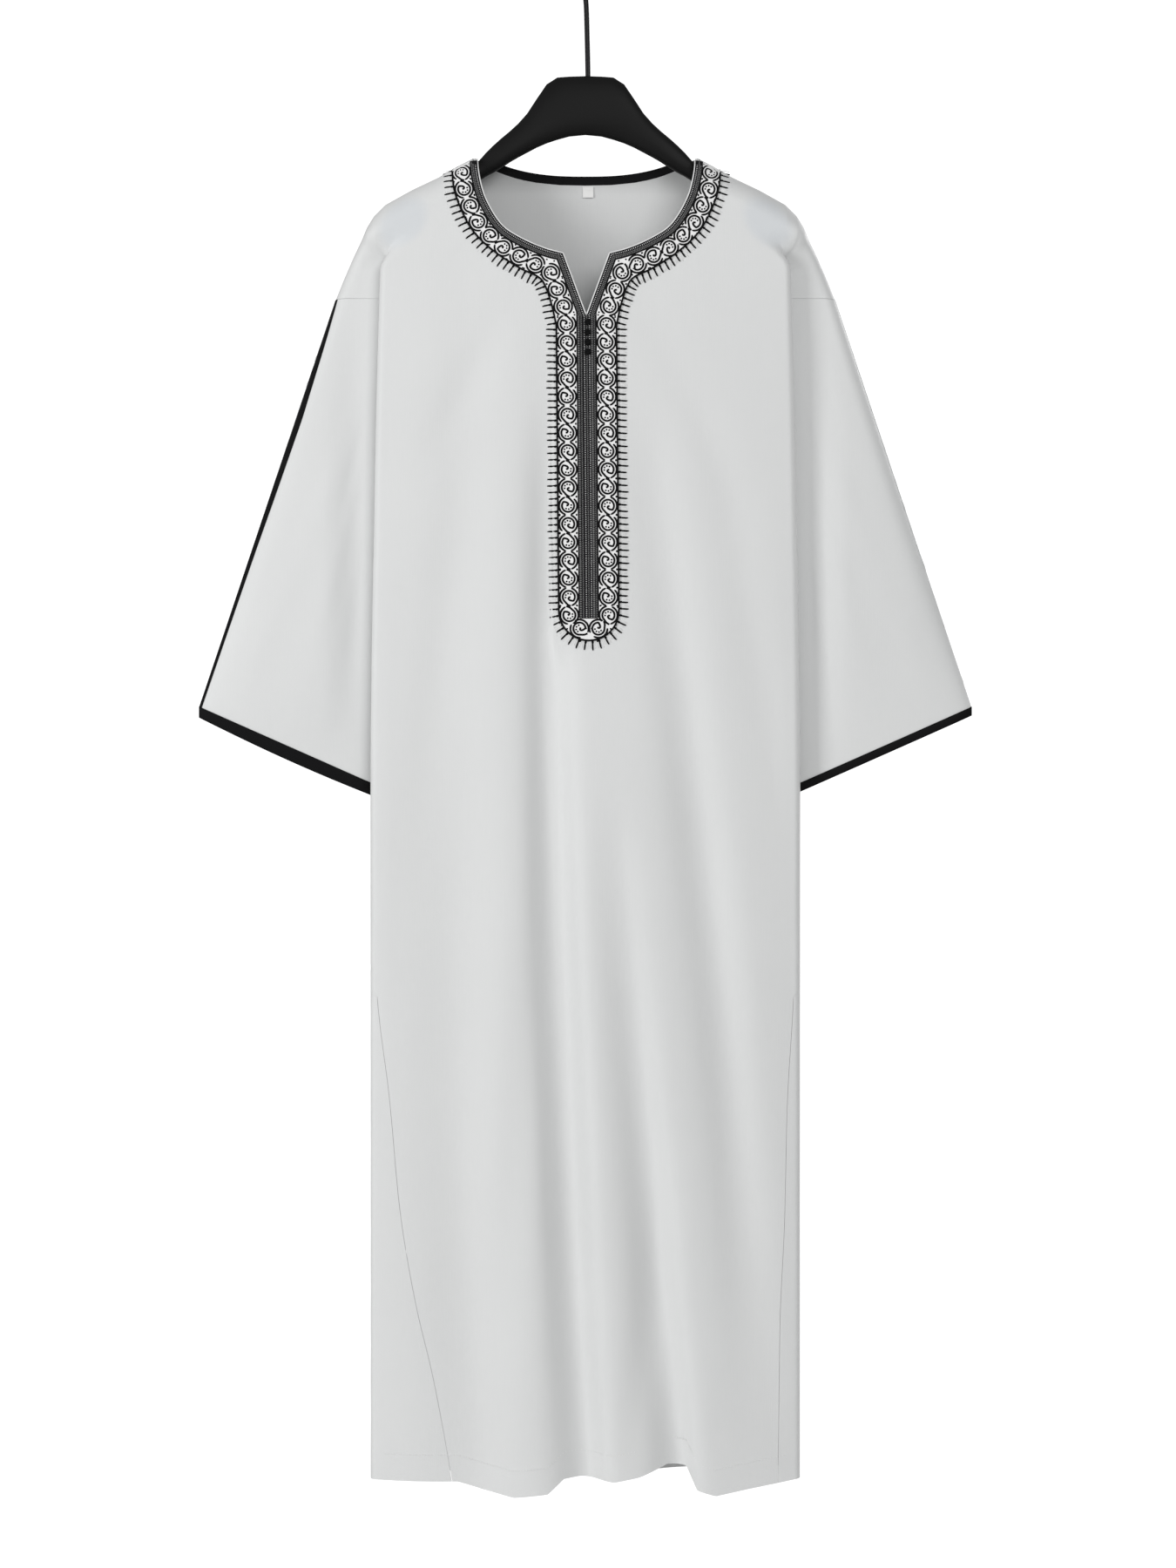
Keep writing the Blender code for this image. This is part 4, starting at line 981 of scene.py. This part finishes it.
def softened(line):
    # the same line with its corners cut twice
    line = np.asarray(line, float)
    for _ in range(2):
        cut = [0.75 * line[:-1] + 0.25 * line[1:], 0.25 * line[:-1] + 0.75 * line[1:]]
        line = np.array([line[0], *np.stack(cut, axis=1).reshape(-1, 2), line[-1]])
    return line


def dot(shape, u, w, radius, high, sides=8):
    low, top = Vector((u, thread["dotBase"], w)) * mm, Vector((u, -high, w)) * mm
    spokes = [Vector((math.cos(a), 0.0, math.sin(a))) * radius * mm
              for a in np.linspace(0.0, 2.0 * math.pi, sides, endpoint=False)]
    rim = [shape.verts.new(low + spoke) for spoke in spokes]
    crown = [shape.verts.new(top + spoke * thread["dotCrest"]) for spoke in spokes]
    for a in range(sides):
        b = (a + 1) % sides
        shape.faces.new((rim[a], rim[b], crown[b], crown[a]))
    shape.faces.new(crown)
    shape.faces.new(rim[::-1])


def motifObject(name, draw):
    shape = bmesh.new()
    draw(shape)
    bmesh.ops.recalc_face_normals(shape, faces=shape.faces)
    mesh = bpy.data.meshes.new(name)
    shape.to_mesh(mesh)
    shape.free()
    mesh.shade_smooth()
    thing = bpy.data.objects.new(name, mesh)
    bpy.context.scene.collection.objects.link(thing)
    return thing


# The scroll's stitches, with the arcs, the leaf and the seeds that make it up
scroll = {"pitch": 18.0, "outer": 9.2, "ring": 6.2, "line": 2.2, "high": 0.4, "dot": 1.2, "first": 12.0,
          "link": [(9.3, 1.9), (8.4, -0.3), (7.2, -1.9)],
          "leaf": [(3.9, 2.6), (3.2, 0.7), (1.9, -0.5), (0.5, 0.1), (0.2, 1.7)],
          "seeds": [(-2.9, 2.0), (-3.4, -0.7), (-1.9, -3.0), (0.7, -3.3)], "corner": 8.6, "cornerDot": 1.14,
          "foot": [(18.9, -710.0), (15.4, -717.6), (9.6, -723.0)]}


def arc(radius, start, end, steps):
    return [(radius * math.cos(math.radians(a)), radius * math.sin(math.radians(a)))
            for a in np.linspace(start, end, steps)]


def drawScroll(shape):
    # a roundel whose ring runs on into the next one, with a curled leaf and seeds inside
    line, high = scroll["line"], scroll["high"]
    stroke(shape, arc(scroll["outer"], 18.0, 164.0, 15), line, high)
    stroke(shape, arc(scroll["outer"], -40.0, -164.0, 13), line, high)
    ring = arc(scroll["ring"], -28.0, -322.0, 30)
    whole = [*softened([*scroll["link"], ring[1]]), *ring[2:-2], *softened([ring[-2], *scroll["leaf"]])]
    stroke(shape, whole, line, high)
    for u, w in scroll["seeds"]:
        dot(shape, u, w, scroll["dot"], high)
    for u in (-0.5, 0.5):
        for w in (scroll["corner"], -scroll["corner"]):
            dot(shape, u * scroll["pitch"], w, scroll["cornerDot"], high)


spikes = {"pitch": 6.6, "long": 9.0, "wide": 1.75, "start": 1.0, "base": 2.6, "high": 0.45, "spread": 0.10}
# Each small stitch: its strokes' points, width and height
smallStitches = {
    "pale": [([(-2.4, 1.4), (-2.9, 6.0), (-2.5, 9.9)], 0.6, 0.25),
             ([(2.6, 1.4), (3.0, 5.0), (2.7, 8.8)], 0.5, 0.25)],
    "long": [([(0.0, -1.0), (0.0, 0.0), (0.0, 1.0)], 0.95, 0.3)],
    "short": [([(0.15, -0.6), (0.0, 0.0), (0.15, 0.6)], 0.75, 0.25)],
    "slant": [([(-0.5, -0.7), (0.0, 0.0), (0.5, 0.7)], 0.6, 0.25)],
}


def drawSpike(shape):
    # one long stitch out from the band's edge, thick where it starts
    far = spikes["start"] + spikes["long"]
    stroke(shape, [(0.0, spikes["start"]), (0.05, far * 0.5), (0.25, far * 0.8), (0.15, far)], spikes["wide"],
           spikes["high"])
    stroke(shape, [(-0.2, 0.4), (-0.3, 2.0), (-0.1, 3.6)], spikes["base"], spikes["high"] * 0.8)


def smallStitch(kind):
    def draw(shape):
        for line, wide, high in smallStitches[kind]:
            stroke(shape, line, wide, high)
    return draw


knot = {"long": 2.9, "narrow": 1.5, "wide": 1.7, "high": 1.6, "step": 0.5, "core": (2.5, 2.2, 12),
        "pitch": 7.6, "ends": [(2.3, -411.0), (2.3, -441.4)]}


def drawKnot(shape):
    # a ball knot of cord: three turns that cross over a core
    for turn in range(3):
        tilt = math.radians(60.0 * turn)
        c, s = math.cos(tilt), math.sin(tilt)
        loop = [(knot["long"] * math.cos(a) * c - knot["narrow"] * math.sin(a) * s,
                 knot["long"] * math.cos(a) * s + knot["narrow"] * math.sin(a) * c)
                for a in np.linspace(0.0, 2.0 * math.pi, 18)]
        stroke(shape, loop, knot["wide"], knot["high"] + knot["step"] * turn)
    dot(shape, 0.0, 0.0, *knot["core"])


def follow(name, tree, lines, values, lift, flatten=1.0, nodes=()):
    mesh = runTree(name, tree, lines, values)
    drape(mesh, lift, flatten)
    makePiece(name, mesh, values["Finish"], nodes)


def sew(name, motif, lines, pitch, finish, lift, halfTurn=0.0, spread=0.0, seed=1, nodes=()):
    follow(name, motifs, lines, {"Motif": motif, "Pitch": pitch * mm, "Half Turn": halfTurn, "Spread": spread,
                                 "Seed": seed, "Finish": finish}, lift, nodes=nodes)


# Down the placket: each column's place, its stitches' pitch and its thread
placketRows = {
    "x": [-8.0, -5.3, -2.2, 0.4, 3.0, 5.6, 8.1],
    "pitch": [1.75, 1.5, 1.9, 1.6, 1.9, 1.5, 1.75],
    "kind": ["long", "slant", "short", "slant", "short", "long", "slant"],
    "pale": [False, False, True, False, True, False, False],
    "below": 1.5, "above": 0.8,
}
neckRows = {"away": [2.6, 4.9, 6.6], "pitch": [1.9, 1.4, 1.5], "kind": ["short", "slant", "short"],
            "pale": [True, False, False]}


def bandMiddle():
    # the line through the roundels, halfway across the band
    outer, inner = evenly(clipShoulder(bandOuter())[:-10], 2.0), evenly(clipShoulder(bandInner()), 2.0)
    middle = []
    for x, z in inner[int(scroll["first"] / 2.0):]:
        away = np.hypot(outer[:, 0] - x, outer[:, 1] - z)
        nearest = outer[int(np.argmin(away))]
        middle.append(((x + nearest[0]) / 2.0, (z + nearest[1]) / 2.0))
    return evenly([*middle, *scroll["foot"]], 3.0)


def placketLines(at):
    top, foot = braid["top"] - placketRows["below"], levels["placketFoot"] + placketRows["above"]
    down = np.array([(at, top), (at, foot)])
    return [evenly(onSide(down, 1), 4.0)]


def neckLines(at):
    line = clipShoulder(cutAt(braidLine(at), braid["top"]))
    return [evenly(onSide(line, side), 2.0) for side in (-1, 1)]


def sewBraids(drawn, pale, kind, lift):
    word, finish = ("pale", whiteThread) if pale else ("grey", greyThread)
    for place, table, key, linesAt in (("placket", placketRows, "x", placketLines),
                                       ("neck", neckRows, "away", neckLines)):
        for i, at in enumerate(table[key]):
            if table["pale"][i] == pale and table["kind"][i] == kind:
                sew(f"{place}_{word}_stitch_{i + 1}", drawn[kind], linesAt(at), table["pitch"][i], finish,
                    lift, spread=onCloth["braid"], seed=i + onCloth["firstSeed"])


# Threads that follow an edge: radius, height over their ground and how far they are flattened
edging = {"outline": (0.95, 0.15, 0.6), "inner": (0.55, 0.0, 0.6), "piping": (0.75, 0.5, 1.0),
          "pipingAway": 0.2, "pipingShort": 1.2, "step": 2.5}
# How high stitches lie on the cloth, how unevenly long they are, and their seeds
onCloth = {"spikes": (0.3, spikes["spread"], 4), "pale": (0.05, 0.15, 9), "hem": (0.02, 0.1, 3), "braid": 0.12,
           "firstSeed": 11, "knotLift": 0.5}


def lay(name, lines, kind, finish, ground=0.0):
    radius, lift, flatten = edging[kind]
    values = {"Radius": radius * mm, "Sides": 8, "Finish": finish}
    follow(name, threads, lines, values, ground + lift, flatten)


def sewOnCloth(name, motif, lines, pitch, finish, kind):
    lift, spread, seed = onCloth[kind]
    sew(name, motif, lines, pitch, finish, lift, spread=spread, seed=seed)


def makeEmbroidery():
    drawn = {name: motifObject(name + "Motif", draw) for name, draw in (
        ("scroll", drawScroll), ("spike", drawSpike), ("knot", drawKnot),
        *((kind, smallStitch(kind)) for kind in smallStitches))}
    top = band["lift"] + band["wall"]
    braidTop = braid["lift"] + braid["wall"]
    middles = [onSide(bandMiddle(), side) for side in (-1, 1)]
    sew("scroll_embroidery", drawn["scroll"], middles, scroll["pitch"], blackThread, top,
        halfTurn=1.0)
    outer, inner = clipShoulder(bandOuter()), clipShoulder(bandInner())
    around = [*onSide(outer, -1), *onSide(outer[:-1], 1)[::-1]]
    within = [*onSide(inner, -1), *onSide(inner, 1)[::-1]]
    lay("band_outline_thread", [evenly(around, edging["step"])], "outline", blackThread, top)
    lay("band_inner_thread", [evenly(within, edging["step"])], "inner", blackThread, top)
    outward = [evenly(around[::-1], 2.0)]
    sewOnCloth("spike_stitches", drawn["spike"], outward, spikes["pitch"], blackThread, "spikes")
    sewOnCloth("pale_stitches", drawn["pale"], outward, spikes["pitch"], whiteThread, "pale")
    edge = cutAt(braidLine(edging["pipingAway"]), braid["top"] + edging["pipingShort"])
    piping = [evenly(clipShoulder(onSide(edge, side)), 2.0) for side in (-1, 1)]
    lay("neck_piping", piping, "piping", whiteThread)
    for pale in (True, False):
        for kind in ("long", "slant", "short"):
            sewBraids(drawn, pale, kind, braidTop)
    sew("knot_buttons", drawn["knot"], [evenly(knot["ends"], knot["pitch"])], knot["pitch"], trim,
        braidTop + onCloth["knotLift"], nodes=[f"button_{i}" for i in range(1, 6)])
    places = np.linspace(-hem["reach"], hem["reach"], 120)
    hemLine = np.stack([places, np.interp(places, hem["x"], hem["z"]) + hem["turnUp"]], axis=1)
    sewOnCloth("hem_stitches", drawn["short"], [evenly(hemLine, 2.0)], hem["pitch"], whiteThread, "hem")
    for thing in drawn.values():
        bpy.data.objects.remove(thing, do_unlink=True)


# The back of the neck

# The tape's lines: how far each one rises from the neck's edge and stands out, and how far short of the top
# it ends
backTape = {"rise": [9.4, 8.6, 5.0, 1.4, 0.1], "out": [0.0, 0.35, 0.5, 0.45, 0.25], "reach": 101.0,
            "wall": 1.4, "columns": 121, "short": 0.6, "step": 0.35, "least": 0.1}
label = {"x": 2.7, "z": -263.0, "wide": 11.0, "high": 11.0, "curl": 0.8, "bulge": 0.25, "away": 0.6,
         "wall": 0.5, "lines": 12}


def makeBackBinding():
    places = np.linspace(-backTape["reach"], backTape["reach"], backTape["columns"])
    edges = np.array([backNeckZ(x) for x in places])
    rows = []
    for rise, out in zip(backTape["rise"], backTape["out"]):
        highest = levels["neckTop"] - backTape["short"] - (backTape["rise"][0] - rise) * backTape["step"]
        z = np.maximum(np.minimum(edges + rise, highest), edges + backTape["least"])
        rows.append(np.stack([places, clothDepth(1, places, edges) + out, z], axis=1))
    mesh = makeMesh("back_neck_tape", flattened(rows), gridOf(rows, 1))
    makeSheet("back_neck_tape", mesh, trim, "back_neck_binding",
              backTape["wall"], -0.5)


def makeLabel():
    rows = []
    share = np.linspace(-0.5, 0.5, label["lines"])
    x = label["x"] + share * label["wide"]
    for w in share[::-1]:
        z = label["z"] + w * label["high"]
        curl = label["curl"] * (0.5 - w) ** 2 + label["bulge"] * np.cos(share * 3.0) ** 2
        y = clothDepth(1, x, z) - wall - label["away"] - curl
        rows.append(np.stack([x, y, np.full(len(x), z)], axis=1))
    mesh = makeMesh("size_label_weave", flattened(rows), gridOf(rows, -1))
    makeSheet("size_label_weave", mesh, labelWeave, "size_label",
              label["wall"], 1.0)


# The hanger

hanger = {
    "x": [0.0, 20.0, 34.0, 43.0, 51.5, 61.0, 75.0, 92.0, 106.0, 110.5, 131.0, 151.5, 179.0, 196.0, 205.0,
          209.0],
    "top": [-149.6, -150.4, -153.0, -161.5, -175.0, -189.5, -204.0, -218.5, -232.5, -237.8, -244.6, -256.6,
            -269.6, -279.2, -286.0, -293.0],
    "bottom": [-210.3, -212.5, -217.0, -220.0, -224.0, -229.0, -236.5, -247.5, -255.0, -258.0, -270.0,
               -284.0, -307.0, -315.0, -313.0, -308.0],
    "half": [9.0, 9.0, 9.0, 9.0, 9.0, 9.0, 9.0, 8.5, 7.5, 7.5, 10.5, 13.5, 17.0, 18.0, 14.0, 9.0],
    "stations": 76, "sides": 30, "corner": 2.6, "tip": 1.6,
}
hook = {"wire": 2.7, "inside": 22.0, "stem": 2.7, "socket": -171.2,
        "neck": [(-2.0, -62.0), (-9.0, -52.5), (-17.0, -44.0), (-22.5, -34.0)]}


def makeHanger():
    # a loft along the arms, thin in the middle and flared at the ends, closed by rounded tips
    half = hanger["x"][-1] * np.sin(np.linspace(0.0, math.pi / 2, hanger["stations"] // 2)) ** 0.8
    sides, corner = hanger["sides"], hanger["corner"]
    angle = np.linspace(0.0, 2.0 * math.pi, sides + 1)[:-1]
    c, s = np.cos(angle), np.sin(angle)
    bulge = (np.abs(c) ** corner + np.abs(s) ** corner) ** (-1 / corner)
    rows = []
    for x in (*-half[:0:-1], *half):
        top, bottom, thick = (curveThrough(hanger, "x", name, abs(x)) for name in ("top", "bottom", "half"))
        middle, high = 0.5 * (top + bottom), 0.5 * (top - bottom)
        rows.append(np.stack([np.full(sides, x), thick * c * bulge, middle + high * s * bulge], axis=1))
    last = (len(rows) - 1) * sides
    faces = [(r + k, r + sides + k, r + sides + (k + 1) % sides, r + (k + 1) % sides)
             for r in range(0, last, sides) for k in range(sides)]
    faces += [tuple(range(sides)), tuple(range(last, last + sides))]
    mesh = makeMesh("hanger_moulded", flattened(rows), faces)
    shape = bmesh.new()
    shape.from_mesh(mesh)
    bmesh.ops.recalc_face_normals(shape, faces=shape.faces)
    tips = [e for e in shape.edges if any(len(f.verts) > 4 for f in e.link_faces)]
    bmesh.ops.bevel(shape, geom=tips, offset=hanger["tip"] * mm, segments=3, profile=0.6, affect="EDGES")
    shape.to_mesh(mesh)
    shape.free()
    mesh.shade_smooth()
    makePiece("hanger_moulded", mesh, plastic, ["hanger_body"])


def makeHook():
    ring, stem = hook["inside"] + hook["wire"], hook["stem"]
    line = [(stem, hook["socket"]), (stem, -150.0), (stem * 0.7, -110.0), (stem * 0.25, -74.0), *hook["neck"]]
    line += [(-ring * math.cos(a), -hook["inside"] + ring * math.sin(a))
             for a in np.linspace(0.0, math.radians(205.0), 15)]
    values = {"Radius": hook["wire"] * mm, "Sides": 20, "Finish": wire}
    mesh = runTree("hook_wire", threads, [smoothLine(line, 150)], values)
    makePiece("hook_wire", mesh, wire, ["hanger_hook"])


addCamera()
addLamps()
addRoom()
print("room ready")

cotton, trim, ground, blackThread, whiteThread, braidBase, greyThread, labelWeave = (
    clothFinish(name) for name in finishes["name"])
plastic, wire = hardFinish("hanger"), hardFinish("hook")
motifs, threads = motifTree(), threadTree()
print("finishes ready")

for panel in panels:
    makePanel(panel)
for side, word in ((-1, "left"), (1, "right")):
    makeGore("gore_" + word, side)
    makeSleeveHalf(f"sleeve_{word}_front", -1, side)
    makeSleeveHalf(f"sleeve_{word}_back", 1, side)
    makeCuffBinding("cuff_binding_" + word, side)
    makeSleeveTape("sleeve_tape_" + word, side, side)
print("cloth ready")

makeBand()
for side, word in ((-1, "left"), (1, "right")):
    makeNeckBraid("neck_braid_" + word, side)
makePlacket()
makeBackBinding()
makeLabel()
makeEmbroidery()
print("trimming ready")

makeHanger()
makeHook()
print("hanger ready")
